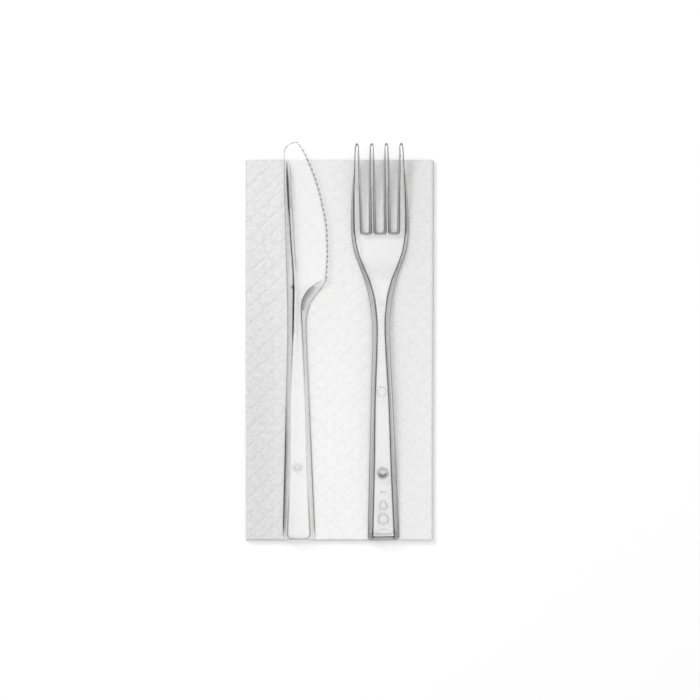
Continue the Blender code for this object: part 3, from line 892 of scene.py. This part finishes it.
@dataclass
class Knife(Moulding):
    """The knife: a toothed blade with a skirt along its back, which becomes a channel-shaped handle."""

    name: str = "clear_knife"
    node: str = "knife"
    tip: tuple[float, float] = (-0.01961, 0.09029)
    lean: float = math.radians(0.54)
    end: float = 0.1738
    end_radius: float = 0.0037
    plate_radius: float = 0.0021
    end_slope: float = 0.0017
    end_wall: float = 0.0032
    gate: float = 0.1411
    gate_radii: tuple[float, float] = (0.00118, 0.0021)
    spacing: float = 0.00042
    finish: ClearPlastic = ClearPlastic(
        "knife_plastic", thin_shade=0.905, grazing=(0.75, 0.97), straight=0.95
    )
    under_columns: int = 30
    blade: float = 0.0594
    blade_back: float = 0.00474
    blade_thickness: float = 0.00140
    tip_offset: float = 0.00065
    tip_depth: float = 0.0044
    tip_steps: int = 16
    tooth_pitch: float = 0.00227
    tooth_depth: float = 0.00042
    tooth_steps: int = 10
    bevel: float = 0.00080
    back_inset: float = 0.00140
    height: float = 0.0032
    heel_length: float = 0.0045
    neck_length: float = 0.0160
    # From here to gate_lines, and in seam_line and rim_line further down, the sizes set painted shade: teeth,
    # rims, walls and lines painted dark into the plastic's colour.
    wall_unshaded: float = 0.98
    tooth_unshaded: float = 0.06
    tooth_reach: float = 0.0007
    gate_unshaded: float = 0.60
    seam_shade: Curve = held((0.006, 0.0), (0.012, 1.0), (0.080, 1.0), (0.098, 0.0))
    crease: Line = Line(0.40, 0.00010, 0.00035)
    crease_shade: Curve = held((0.008, 0.0), (0.012, 1.0), (0.052, 1.0), (0.060, 0.0))
    back_shade: Curve = held((0.10, 0.50), (0.135, 1.0), (0.1665, 1.0), (0.1715, 0.15))
    edge_shade: Curve = held((0.10, 0.45), (0.14, 0.75), (0.1665, 0.75), (0.1715, 0.1125))
    edge_rim: float = 0.00045
    tip_rim: Line = Line(0.80, 0.00030, 0.00060)
    plate_rim: Line = Line(1.0, 0.00014, 0.00042)
    plate_shade: Curve = held((0.080, 0.75), (0.115, 0.24), (0.145, 0.24), (0.166, 0.64))
    gate_lines: tuple[Line, Line] = (Line(0.28, 0.00008, 0.00024), Line(0.08, 0.00008, 0.00024))
    edge_line: Curve = Curve((
        (0.0, 0.0014), (0.0035, 0.00390), (0.0122, 0.00779), (0.0187, 0.01003), (0.0253, 0.01171),
        (0.0384, 0.01393), (0.0470, 0.01418), (0.0594, 0.01335), (0.0631, 0.01132), (0.0674, 0.00785),
        (0.0709, 0.00580), (0.0785, 0.00427), (0.1119, 0.00529), (0.1738, 0.00732),
    ))
    edge_plate_line: Curve = Curve((
        (0.0594, 0.01255), (0.0606, 0.01045), (0.0623, 0.00770), (0.0645, 0.00500), (0.0694, 0.00255),
        (0.0750, 0.00215), (0.0818, 0.00245), (0.1035, 0.00324), (0.1467, 0.00420), (0.1738, 0.00515),
    ))
    back_line: Curve = Curve((
        (0.0, 0.00474), (0.0163, 0.00474), (0.0423, 0.00443), (0.0700, 0.00396), (0.0785, 0.00393),
        (0.1119, 0.00495), (0.1738, 0.00698),
    ))
    back_skirt_line: Curve = Curve((
        (0.0, 0.00060), (0.0122, 0.00125), (0.0253, 0.00172), (0.0423, 0.00234), (0.0597, 0.00298),
        (0.0731, 0.00262), (0.1119, 0.0019), (0.1467, 0.0023), (0.1738, 0.0021),
    ))
    lift_line: Curve = Curve(((0.0, 0.0014), (0.0594, 0.0)))
    seam_line: Curve = Curve((
        (0.0, 0.0001), (0.010, 0.00026), (0.017, 0.00055), (0.027, 0.00052), (0.034, 0.00032),
        (0.055, 0.00034), (0.064, 0.00046), (0.078, 0.00042), (0.095, 0.00014),
    ))
    rim_line: Curve = Curve((
        (0.0, 0.0003), (0.108, 0.00042), (0.137, 0.00065), (0.158, 0.00060), (0.1738, 0.0004),
    ))

    def marks(self) -> tuple[Mark, ...]:
        """The gate's marks: a shallow disc with a smaller, deeper one inside it."""
        small, large = self.gate_radii
        disc = MarkShape.DISC
        return Mark(disc, self.gate, large, 0.00005), Mark(disc, self.gate, small, 0.00016)

    def shades(self, points: Array) -> Shades:
        """The knife's painted shade: on its teeth, its rims and the lines along its back and its plate.

        A near-black line is painted where the plate meets the back's skirt, and a faint one over the skirt's
        inner corner. The painted rims darken towards the handle's end and fade out round it.

        Args:
            points: Points in the knife's own axes.

        Returns:
            The shades at each point.
        """
        # All that is worked out here is painted shade: teeth, rims, walls and lines painted dark into the
        # plastic's colour.
        x, along, z = points[:, 0], -points[:, 1], points[:, 2]
        back, edge = self.back_line(along), self.edge_line(along)
        out = np.hypot(x, along - self.gate)
        teeth = (x > edge - self.tooth_reach) * (along < self.blade)
        edges = mix(1.0, self.tooth_unshaded, teeth)
        edges *= mix(1.0, self.gate_unshaded, 1 - eased(out, 0.0024, 0.0030))
        seam_at = self.back_skirt_line(along) - back
        wide = self.seam_line(along)
        seam = self.seam_shade(along) * (1 - eased(np.abs(x - seam_at), 0.6 * wide, 1.4 * wide))
        crease = self.crease_shade(along) * self.crease(np.abs(x - seam_at - self.back_inset))
        wide = np.where(x < 0, self.rim_line(along), self.edge_rim)
        rim = from_outline(x, along, (-back, edge), self.end, self.end_radius)
        rim = 1 - eased(rim, 0.85 * wide, 1.2 * wide)
        rim *= np.where(x < 0, self.back_shade(along), self.edge_shade(along) * (along >= self.blade))
        nudge = self.closest
        slope = (self.back_rim(along + nudge) - self.back_rim(along - nudge)) / (2 * nudge)
        tip = self.tip_rim(np.abs(x + self.back_rim(along)) / np.hypot(1, slope)) * (along < self.tip_depth)
        sides = (seam_at, self.edge_plate_line(along))
        plate = self.plate_rim(from_outline(x, along, sides, self.plate_end, self.plate_radius))
        plate *= self.plate_shade(along) * eased(along, self.blade, self.blade + 0.002)
        over = np.maximum(np.maximum(seam, crease), plate) * (z > self.height / 2)
        rings = [line(np.abs(out - radius)) for line, radius in zip(self.gate_lines, self.gate_radii)]
        return Shades(edges, self.wall_unshaded, np.maximum.reduce([over, *rings, rim, tip]))

    def rounding(self, along: Array) -> Array:
        """How far the round tip has widened: 0 at its end and 1 from its depth on."""
        return np.sqrt(1 - (1 - ramp(along, 0.0, self.tip_depth)) ** 2)

    def back_rim(self, along: Array) -> Array:
        """How far left of the knife's axis its back lies, pulled in round at the tip and at the end."""
        round_tip = mix(-self.tip_offset, self.blade_back, self.rounding(along))
        return np.where(along < self.tip_depth, round_tip, self.back_line(along) - self.end_loss(along))

    def toothed(self) -> tuple[Array, Array]:
        """Stations along the blade that split each tooth evenly, and how far each lies along the edge.

        The teeth are equally long along the edge itself, whose length adds up over small steps.

        Returns:
            The stations, and the lengths.
        """
        fine = np.linspace(0.0, self.blade, 2400)
        steps = np.hypot(np.diff(fine), np.diff(self.edge_line(fine)))
        travelled = np.concatenate([[0.0], np.cumsum(steps)])
        teeth = int(travelled[-1] / self.tooth_pitch)
        lengths = np.arange(teeth * self.tooth_steps + 1) * self.tooth_pitch / self.tooth_steps
        return np.interp(lengths, travelled, fine), lengths

    def sections(self, along: Array) -> Sections:
        """The knife's cross-sections.

        The teeth are hollows of tooth_depth times the size of a sine with one half wave for each tooth.

        Args:
            along: The stations.

        Returns:
            The sections.
        """
        at, lengths = self.toothed()
        slope = ramp(along, self.plate_end, self.end)
        in_blade = 1 - eased(along, self.blade, self.blade + self.heel_length)
        back = self.back_rim(along)
        edge = self.edge_line(along) - self.end_loss(along)
        skirt = self.back_skirt_line(along)
        back_plate = back - mix(0.1, 1.0, self.rounding(along)) * skirt
        bevel = np.minimum(self.bevel, (edge + back) / 5)
        edge_plate = np.where(along < self.blade, edge - bevel, self.edge_plate_line(along))
        turn = math.pi * np.interp(along, at, lengths) / self.tooth_pitch
        hollow = self.tooth_depth * np.abs(np.sin(turn))
        edge = edge - np.where(along < at[-1], hollow, 0.0)
        closing = along > self.plate_end - self.plate_radius
        loss = self.plate_loss(along)
        closed_back = mix(self.back_line(along) - skirt - loss, back - self.plate_margin, slope)
        closed_edge = mix(edge_plate - loss, edge - self.plate_margin, slope)
        back_plate = np.where(closing, closed_back, back_plate)
        edge_plate = np.where(closing, closed_edge, edge_plate)
        lift = self.lift_line(along)
        plate_under = self.height - self.blade_thickness
        open_under = 1 - ramp(along, self.end - self.end_wall, self.plate_end)
        edge_level = self.height - (self.blade_thickness + self.lip) / 2
        return Sections(
            along=along,
            plate=(-back_plate, edge_plate),
            rim=(-back, edge),
            foot=(lift, edge_level * in_blade),
            inner_foot=(lift, plate_under * in_blade),
            inset=(
                mix(self.channel_inset, self.back_inset, in_blade),
                mix(self.channel_inset, 2 * self.bevel, in_blade),
            ),
            top=mix(self.height, self.end_face, slope),
            under=plate_under * open_under,
        )

    def build(self) -> bpy.types.Object:
        """Builds the knife and dresses it.

        Returns:
            The finished knife.
        """
        neck_end, handle_end = self.blade + self.neck_length, self.end - self.end_length
        made = self.moulded([
            self.toothed()[0],
            self.tip_depth * (1 - np.cos(np.linspace(0.0, math.pi / 2, self.tip_steps))),
            np.arange(self.blade, neck_end, 0.00020),
            np.arange(neck_end, handle_end, self.spacing),
            np.arange(self.gate - 0.003, self.gate + 0.003, 0.00015),
            np.arange(handle_end, self.end - self.end_radius, 0.0003),
            round_stations(self.plate_end, self.plate_radius, 18),
            round_stations(self.end, self.end_radius, 36),
        ])
        self.dress(made)
        return made


@dataclass
class Fork(Moulding):
    """The fork: four tines cut out of a solid head, a shallow bowl, and a channel-shaped handle."""

    name: str = "clear_fork"
    node: str = "fork"
    tip: tuple[float, float] = (0.01693, 0.08968)
    lean: float = math.radians(0.66)
    end: float = 0.1723
    end_radius: float = 0.0017
    plate_radius: float = 0.0009
    end_slope: float = 0.0016
    end_wall: float = 0.0030
    gate: float = 0.1429
    gate_radii: tuple[float, float] = (0.0019, 0.0024)
    spacing: float = 0.00060
    finish: ClearPlastic = ClearPlastic("fork_plastic")
    top_columns: int = 60
    pitch: float = 0.00640
    tip_length: float = 0.0018
    tip_steps: int = 13
    bevel: float = 0.0057
    tip_thickness: float = 0.00075
    plate_thickness: float = 0.00150
    root: float = 0.0386
    root_radius: float = 0.0010
    root_draft: float = 0.0007
    clear: float = 0.00025
    flare: float = 0.00036
    flare_turn: float = math.pi / 3
    flare_steps: int = 5
    least_half_gap: float = 0.0001
    cut_from: float = -0.0017
    cut_step: float = 0.00003
    hollow_start: float = 0.0400
    hollow_ramp: float = 0.0200
    # From here to tips, the sizes set painted shade: edges, walls, rims, the plate's end, the gate's dimple
    # and the tips painted dark into the plastic's colour.
    edge_unshaded: float = 0.03
    wall_unshaded: float = 0.90
    tine_unshaded: tuple[float, float] = (0.46, 0.08)
    outer_margin: float = 0.0006
    top_from: float = 0.00173
    rim: Line = Line(1.0, 0.00016, 0.00048)
    rim_shade: Curve = held((0.060, 0.50), (0.110, 0.82), (0.1690, 0.82), (0.1712, 0.328))
    plate_rim: Line = Line(0.85, 0.0002, 0.0006)
    plate_shade: Curve = held((0.1663, 0.0), (0.1693, 1.0))
    dimple_shade: Curve = held((0.0004, 0.0), (0.0011, 0.88), (0.0018, 0.88), (0.0022, 0.0))
    gate_ring: Line = Line(0.35, 0.00012, 0.0004)
    tips: Line = Line(0.75, 0.0004, 0.0018)
    outline: Curve = Curve((
        (0.0, 0.00982), (0.0002, 0.01004), (0.0014, 0.01040), (0.0064, 0.01080), (0.0116, 0.01100),
        (0.0203, 0.01195), (0.0269, 0.01232), (0.0360, 0.01252), (0.0421, 0.01215), (0.0473, 0.01120),
        (0.0534, 0.00905), (0.0594, 0.00700), (0.0681, 0.00490), (0.0805, 0.00380), (0.1119, 0.00485),
        (0.1723, 0.0069),
    ))
    skirt_line: Curve = Curve((
        (0.0, 0.00010), (0.0116, 0.00012), (0.0160, 0.00050), (0.0269, 0.00105), (0.0421, 0.00147),
        (0.0534, 0.00162), (0.0594, 0.00206), (0.0681, 0.00214), (0.0805, 0.00197), (0.1119, 0.00178),
        (0.1467, 0.00206), (0.1723, 0.00205),
    ))
    lift_line: Curve = Curve((
        (0.0, 0.0072), (0.0130, 0.0036), (0.0260, 0.001296), (0.0386, 0.000252), (0.0520, 0.0),
        (0.0650, 0.0012), (0.0805, 0.00285), (0.1119, 0.0030), (0.1450, 0.0015), (0.1723, 0.0),
    ))
    height_line: Curve = Curve(((0.0057, 0.00170), (0.0360, 0.0024), (0.0805, 0.0031), (0.1723, 0.0031)))
    tine_side: Curve = Curve((
        (0.0, 0.00022), (0.0002, 0.00044), (0.0006, 0.00066), (0.0014, 0.00088), (0.0030, 0.00100),
        (0.0057, 0.00116), (0.0090, 0.00137), (0.0386, 0.00165),
    ))
    outer_side_extra: Curve = Curve(((0.0090, 0.0), (0.0386, 0.00062)))
    slant_line: Curve = Curve(((0.0, 0.00012), (0.0057, 0.00060), (0.0090, 0.00085), (0.0386, 0.00115)))

    def shades(self, points: Array) -> Shades:
        """The fork's painted shade: on walls between the tines, rims, the plate's end, the gate and the tips.

        A wall between two tines is painted darkest by its upper and lower edges. The gate's dimple has
        painted shade in its lower half.

        Args:
            points: Points in the fork's own axes.

        Returns:
            The shades at each point.
        """
        # All that is worked out here is painted shade: edges, walls between the tines, rims, the gate and the
        # tips painted dark into the plastic's colour.
        x, along, z = points[:, 0], -points[:, 1], points[:, 2]
        half = self.outline(along)
        foot, _, top = self.levels(np.clip(along, 0.0, self.end))
        tine = mix(*self.tine_unshaded, eased(np.abs((z - foot) / (top - foot) - 0.5), 0.12, 0.42))
        between_tines = half - np.abs(x) > self.outer_margin
        between_tines = between_tines * (1 - eased(along, self.root, self.root + self.root_radius))
        rim = self.rim(from_outline(x, along, (-half, half), self.end, self.end_radius))
        half = half - self.skirt_line(along)
        plate = self.plate_rim(from_outline(x, along, (-half, half), self.plate_end, self.plate_radius))
        plate *= self.plate_shade(along) * (z > self.top_from)
        out = np.hypot(x, along - self.gate)
        dimple_shade = self.dimple_shade(out) * eased(along - self.gate, -0.0006, 0.0008)
        ring = self.gate_ring(np.abs(out - self.gate_radii[1]))
        lines = np.maximum.reduce([rim * self.rim_shade(along), plate, dimple_shade, ring, self.tips(along)])
        return Shades(self.edge_unshaded, mix(self.wall_unshaded, tine, between_tines), lines)

    def marks(self) -> tuple[Mark, ...]:
        """The marks of two pins and of the gate, and below it a few plain raised shapes.

        Returns:
            The marks.
        """
        small, large = self.gate_radii
        pins = ((0.0696, 0.0011, 0.00005), (0.1076, 0.0019, 0.00009), (self.gate, large, 0.00006))
        bar, ring = MarkShape.BAR, MarkShape.RING
        plain = ((bar, 0.1512, 0.0009), (ring, 0.1571, 0.0016), (ring, 0.1630, 0.0021), (bar, 0.1674, 0.0012))
        return (
            *(Mark(MarkShape.DISC, *pin) for pin in pins),
            Mark(MarkShape.DIMPLE, self.gate, small, 0.00105),
            *(Mark(*shape, depth=0.00009, blend=Blend.RAISED) for shape in plain),
        )

    def levels(self, along: Array) -> tuple[Array, Array, Array]:
        """Heights of the fork's feet, underside and top over its resting points.

        Args:
            along: The stations.

        Returns:
            The three heights at each station.
        """
        foot = self.lift_line(along)
        tall = mix(self.tip_thickness, self.height_line(along), ramp(along, 0.0, self.bevel))
        into = eased(along, self.hollow_start, self.hollow_start + self.hollow_ramp)
        out = ramp(along, self.end - self.end_wall, self.plate_end)
        under = (tall - self.plate_thickness) * into * (1 - out)
        tall = mix(tall, self.end_face, ramp(along, self.plate_end, self.end))
        return foot, foot + under, foot + tall

    def sections(self, along: Array) -> Sections:
        """The fork's cross-sections: solid where the tines are cut out of it, and a channel past them.

        Args:
            along: The stations.

        Returns:
            The sections.
        """
        foot, under, top = self.levels(along)
        half = self.outline(along) - self.end_loss(along)
        plate = self.outline(along) - self.skirt_line(along) - self.plate_loss(along)
        plate = mix(plate, half - self.plate_margin, ramp(along, self.plate_end, self.end))
        return Sections(
            along=along,
            plate=(-plate, plate),
            rim=(-half, half),
            foot=(foot, foot),
            inner_foot=(foot, foot),
            inset=(self.channel_inset, self.channel_inset),
            top=top,
            under=under,
        )

    def gap_rings(self, along: Array, side: int) -> Array:
        """The rings of one gap's cutter, which widens upwards by its slant and flares at both faces.

        At a share h of the fork's height, a wall lies slant * h past its foot. Near the lower and the upper
        face it swings out by flare * (1 - cos t), with t up to flare_turn at the face, and past a face it
        carries on straight. The flare is smaller where the tine is narrow or thin.

        Args:
            along: The stations, some of them before the tips.
            side: -1, 0 or 1 for the left, middle or right gap.

        Returns:
            The rings, as (ring, point, 3).
        """
        inside = np.maximum(along, 0.0)
        loss = corner_loss(inside, self.root, self.root_radius)
        foot, _, top = self.levels(inside)
        half = self.tine_side(inside) + loss
        extra = self.outer_side_extra(inside)
        left = (side - 0.5) * self.pitch + half + (extra if side < 0 else 0.0)
        right = (side + 0.5) * self.pitch - half - (extra if side > 0 else 0.0)
        middle = (left + right) / 2
        slant = self.slant_line(inside)
        root_slant = self.root_draft * inside / self.root
        turn = np.linspace(self.flare_turn, 0.0, self.flare_steps)
        past = self.clear * np.array([math.cos(turn[0]), math.sin(turn[0])])
        flare = np.minimum(self.flare, np.minimum(0.6 * (self.tine_side(inside) - slant), 0.3 * (top - foot)))
        rise = flare[:, None] * (math.sin(turn[0]) - np.sin(turn))
        swing = flare[:, None] * (1 - np.cos(turn))
        inner = rise[:, -1:] + self.guard
        inner = np.concatenate([inner, mix(inner, (top - foot)[:, None] / 2, 0.5)], axis=1)
        drop = np.concatenate([np.full((len(along), 1), -past[0]), rise, inner], axis=1)
        out = np.concatenate([swing[:, :1] + past[1], swing, np.zeros((len(along), 2))], axis=1)
        z = np.concatenate([foot[:, None] + drop, top[:, None] - drop[:, ::-1]], axis=1)
        share = (z - foot[:, None]) / (top - foot)[:, None]
        widened = slant[:, None] * share + np.concatenate([out, out[:, ::-1]], axis=1)
        y = -along[:, None] - root_slant[:, None] * share
        first = np.minimum(left[:, None] - widened, middle[:, None] - self.least_half_gap)
        second = np.maximum(right[:, None] + widened, middle[:, None] + self.least_half_gap)
        near = np.stack([first, y, z], axis=-1)
        far = np.stack([second, y, z], axis=-1)
        return np.concatenate([near, far[:, ::-1]], axis=1)

    def gaps(self) -> bpy.types.Object:
        """The cutter for the three gaps between the tines.

        Returns:
            A temporary object.
        """
        stations = [
            np.array([self.cut_from]),
            np.linspace(0.0, self.tip_length, self.tip_steps),
            np.arange(self.tip_length, self.root - self.root_radius, self.spacing),
            round_stations(self.root, self.root_radius, 12),
        ]
        along = spaced(stations, self.cut_step)
        rings = [self.gap_rings(along, side) for side in (-1, 0, 1)]
        count, points = rings[0].shape[:2]
        faces = [
            [index + k * count * points for index in face]
            for k in range(len(rings))
            for face in tube_faces(count, points)
        ]
        return new_object("gap_cutter", self.placed(np.concatenate(rings)), faces)

    def build(self) -> bpy.types.Object:
        """Builds the fork, cuts its gaps and dresses it.

        Returns:
            The finished fork.
        """
        handle_end = self.end - self.end_length
        made = self.moulded([
            np.linspace(0.0, self.tip_length, self.tip_steps),
            np.arange(self.tip_length, handle_end, self.spacing),
            *(np.arange(mark.along - 0.0016, mark.along + 0.0016, 0.0002) for mark in self.marks()),
            np.arange(self.gate - 0.0028, self.gate + 0.0028, 0.0002),
            np.arange(handle_end, self.end - self.end_radius, 0.0003),
            round_stations(self.plate_end, self.plate_radius, 16),
            round_stations(self.end, self.end_radius, 30),
        ])
        cutter = self.gaps()
        boolean = made.modifiers.new("gaps", "BOOLEAN")
        boolean.operation = "DIFFERENCE"
        boolean.solver = "EXACT"
        boolean.object = cutter
        settled(made)
        old = cutter.data
        bpy.data.objects.remove(cutter)
        bpy.data.meshes.remove(old)
        self.dress(made)
        return made


@dataclass
class Napkin:
    """One sheet of tissue, folded in half sideways, then upwards from its bottom, then sideways again."""

    FLAT_MAP = "flat_sheet"

    name: str = "tissue_napkin"
    node: str = "napkin"
    width: float = 0.3245
    length: float = 0.3300
    thickness: float = 0.00022
    gap: float = 0.00020
    step: float = 0.0032
    bend_steps: int = 14
    wave: float = 0.00007
    drift: float = 0.00015
    finish: Tissue = Tissue("napkin_tissue")

    def stack(self, layers: int) -> float:
        """How thick a stack of layers is, with the gaps between them."""
        return layers * self.thickness + (layers - 1) * self.gap

    def radii(self, layers: int) -> tuple[float, float]:
        """The outer and the middle radius of a fold that turns a stack over onto itself."""
        outer = self.stack(layers) + self.gap / 2
        return outer, outer - self.stack(layers) / 2

    def folded(self, points: Array, way: Across, line: float, layers: int) -> Array:
        """Folds everything past a line up and over, round a half cylinder that keeps the layers apart.

        A point a distance s past the line turns by s over the middle radius, and a point past the whole
        bend comes back upside down above the rest.

        Args:
            points: The points, as (point, 3).
            way: Which way the fold turns.
            line: Where it starts.
            layers: How many layers it turns over.

        Returns:
            The moved points.
        """
        outer, middle = self.radii(layers)
        along = points[:, way.value]
        past = along - line
        turn = np.clip(past / middle, 0.0, math.pi)
        beyond = np.maximum(past - math.pi * middle, 0.0)
        out = outer - points[:, 2]
        moved = points.copy()
        moved[:, way.value] = np.where(past > 0, line + out * np.sin(turn) - beyond, along)
        moved[:, 2] = np.where(past > 0, outer - out * np.cos(turn), points[:, 2])
        return moved

    def lines(self) -> tuple[float, float, float]:
        """Where the three folds start, so that each folds its stack in half.

        Returns:
            The three starts, across, up and across the sheet.
        """
        (outer_1, middle_1), (_, middle_2), (_, middle_4) = (self.radii(n) for n in (1, 2, 4))
        first = (self.width - math.pi * middle_1) / 2
        second = (self.length - math.pi * middle_2) / 2
        return first, second, (first + outer_1 - math.pi * middle_4) / 2

    def across(self) -> Array:
        """Places across the sheet, close together in the folds, which the first fold's far half repeats.

        Returns:
            The places, from one side to the other.
        """
        first, _, third = self.lines()
        bend_1, bend_4 = (math.pi * self.radii(n)[1] for n in (1, 4))
        back = 2 * first + bend_1
        half = [
            np.arange(0.0, first, self.step),
            np.linspace(third, third + bend_4, self.bend_steps * 2 + 1),
        ]
        middle = np.linspace(first, first + bend_1, self.bend_steps + 1)
        mirrored = [back - places for places in half]
        kept = spaced([*half, middle, *mirrored, np.array([self.width])], self.thickness / 3)
        return kept[(kept >= 0.0) & (kept <= self.width)]

    def upward(self) -> Array:
        """Places up the sheet, close together in the second fold.

        Returns:
            The places, from the bottom up.
        """
        _, second, _ = self.lines()
        bend = math.pi * self.radii(2)[1]
        flat = np.arange(0.0, self.length, self.step)
        bent = np.linspace(second, second + bend, self.bend_steps + 1)
        return spaced([flat, bent, np.array([self.length])], self.thickness / 3)

    def points(self, x: Array, y: Array) -> Array:
        """The sheet's two faces, waved a little, folded, and moved so that the stack is centred.

        The wave is a sum of slow sines over the flat sheet, and the same on both faces.

        Args:
            x: Places across the flat sheet.
            y: Places up it.

        Returns:
            The points, as (face, row, column) flattened to (point, 3).
        """
        z, rows, columns = np.meshgrid((0.0, self.thickness), y, x, indexing="ij")
        wave = np.sin(columns * 97.0 + 1.3) * np.sin(rows * 71.0 + 0.4)
        wave = wave + 0.6 * np.sin(columns * 41.0 - rows * 57.0)
        flat = np.stack([columns, rows, z + self.wave * 0.6 * wave], axis=-1).reshape(-1, 3)
        first, second, third = self.lines()
        made = self.folded(flat, Across.SIDEWAYS, first, 1)
        made = self.folded(made, Across.UPWARDS, second, 2)
        made = self.folded(made, Across.SIDEWAYS, third, 4)
        drift_x = np.sin(rows * 23.0 + columns * 9.0 + 0.7).reshape(-1)
        drift_y = np.sin(columns * 27.0 + rows * 11.0 + 2.1).reshape(-1)
        made[:, 0] += self.drift * drift_x - (third + self.radii(4)[0]) / 2
        made[:, 1] = (second + self.radii(2)[0]) / 2 - made[:, 1] + self.drift * drift_y
        return made

    @staticmethod
    def faces(tall: int, wide: int) -> list[list[int]]:
        """The faces of a thin slab: its lower and upper grids, and the four strips round its rim.

        Args:
            tall: How many rows of points each grid has.
            wide: How many columns.

        Returns:
            The faces.
        """
        number = np.arange(2 * tall * wide).reshape(2, tall, wide)

        def quads(a: Array, b: Array, c: Array, d: Array) -> list[list[int]]:
            """Faces with these corners, in turn."""
            return np.stack([a, b, c, d], axis=-1).reshape(-1, 4).tolist()

        low, high = number
        found = quads(low[:-1, 1:], low[1:, 1:], low[1:, :-1], low[:-1, :-1])
        found += quads(high[1:, :-1], high[1:, 1:], high[:-1, 1:], high[:-1, :-1])
        found += quads(high[0, :-1], high[0, 1:], low[0, 1:], low[0, :-1])
        found += quads(high[-1, 1:], high[-1, :-1], low[-1, :-1], low[-1, 1:])
        found += quads(high[1:, 0], high[:-1, 0], low[:-1, 0], low[1:, 0])
        found += quads(high[:-1, -1], high[1:, -1], low[1:, -1], low[:-1, -1])
        return found

    def build(self) -> bpy.types.Object:
        """Builds the napkin, maps its flat sheet onto it and dresses it.

        Returns:
            The finished napkin.
        """
        x, y = self.across(), self.upward()
        made = new_object(self.name, self.points(x, y), self.faces(len(y), len(x)))
        mesh = made.data
        _, rows, columns = np.meshgrid((0, 1), y, x, indexing="ij")
        flat = np.stack([columns.reshape(-1), rows.reshape(-1)], axis=-1)
        corner = read(mesh.loops, "vertex_index", 1, np.int32)
        mesh.uv_layers.new(name=self.FLAT_MAP).data.foreach_set("uv", flat[corner].ravel())
        mesh.shade_smooth()
        mesh.set_sharp_from_angle(angle=math.radians(50))
        mesh.materials.append(self.finish.material())
        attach(made, "root")
        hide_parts(self.node)
        LOG.info("%s: %d faces", made.name, len(mesh.polygons))
        return made


@dataclass(frozen=True)
class Lamp:
    """A soft rectangular lamp that points at the napkin's middle."""

    name: str
    place: tuple[float, float, float]
    size: tuple[float, float]
    watts: float


@dataclass
class Studio:
    """The pale floor, the soft light and the camera that looks straight down."""

    centre: tuple[float, float] = (0.00435, 0.0001)
    seen: float = 0.30436
    lens: float = 300.0
    sensor: float = 36.0
    floor_size: float = 3.0
    floor_lines: int = 9
    floor_drop: float = 0.0002
    floor: PaleFloor = PaleFloor()
    horizon: float = 0.04
    zenith: float = 0.86
    lamps: tuple[Lamp, ...] = (
        Lamp("key_lamp", (-0.75, 0.85, 1.25), (0.55, 0.55), 9.6),
        Lamp("top_lamp", (0.1, 0.1, 1.6), (0.8, 0.8), 4.1),
    )

    def build(self) -> None:
        """Sets the studio up round the object."""
        self.build_floor()
        self.build_world()
        for lamp in self.lamps:
            self.build_lamp(lamp)
        self.build_camera()
        bpy.context.scene.view_settings.view_transform = "Standard"

    def build_floor(self) -> None:
        """A flat grid under the napkin."""
        half = self.floor_size / 2
        places = np.linspace(-half, half, self.floor_lines)
        x, y = np.meshgrid(places, places)
        points = np.stack([x, y, np.full_like(x, -self.floor_drop)], axis=-1).reshape(-1, 3)
        number = np.arange(x.size).reshape(x.shape)
        quads = np.stack([number[:-1, :-1], number[:-1, 1:], number[1:, 1:], number[1:, :-1]], axis=-1)
        made = new_object("floor", points, quads.reshape(-1, 4).tolist())
        made.data.materials.append(self.floor.material())

    def build_world(self) -> None:
        """A white backdrop to the camera. As light it is bright overhead and dim at the horizon."""
        world = bpy.data.worlds.new("studio")
        world.use_nodes = True
        graph = Graph(world.node_tree)
        direction = graph.node("ShaderNodeTexCoord", output="Generated")
        up = graph.node("ShaderNodeSeparateXYZ", inputs={"Vector": direction}, output="Z")
        strength = up.eased(0.0, 1.0, self.horizon, self.zenith)
        light, white = (
            graph.node("ShaderNodeBackground", inputs={"Color": (*WHITE, 1.0), "Strength": bright})
            for bright in (strength, 1.0)
        )
        graph.end("ShaderNodeOutputWorld", graph.either(graph.ray("Camera"), light, white))
        bpy.context.scene.world = world

    def build_lamp(self, lamp: Lamp) -> None:
        """One soft lamp, turned to the middle of the napkin.

        Args:
            lamp: The lamp.
        """
        data = bpy.data.lights.new(lamp.name, "AREA")
        data.shape = "RECTANGLE"
        data.size, data.size_y = lamp.size
        data.energy = lamp.watts
        made = added(lamp.name, data)
        made.location = lamp.place
        x, y, z = lamp.place
        made.rotation_euler = (math.atan2(math.hypot(x, y), z), 0.0, math.atan2(x, -y))
        made.visible_camera = False

    def build_camera(self) -> None:
        """A long lens straight overhead, with +Y up in the picture."""
        data = bpy.data.cameras.new("camera")
        data.sensor_width = self.sensor
        data.lens = self.lens
        data.clip_end = 20.0
        made = added("camera", data)
        made.location = (*self.centre, self.seen * self.lens / self.sensor)
        bpy.context.scene.camera = made


def main() -> None:
    """Builds the studio and the pieces round the frame."""
    logging.basicConfig(level=logging.INFO, format="%(name)s: %(message)s")
    LOG.info("frame: %d nodes", len(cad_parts))
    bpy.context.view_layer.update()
    Studio().build()
    for piece in (Napkin(), Knife(), Fork()):
        piece.build()


if __name__ == "__main__":
    main()
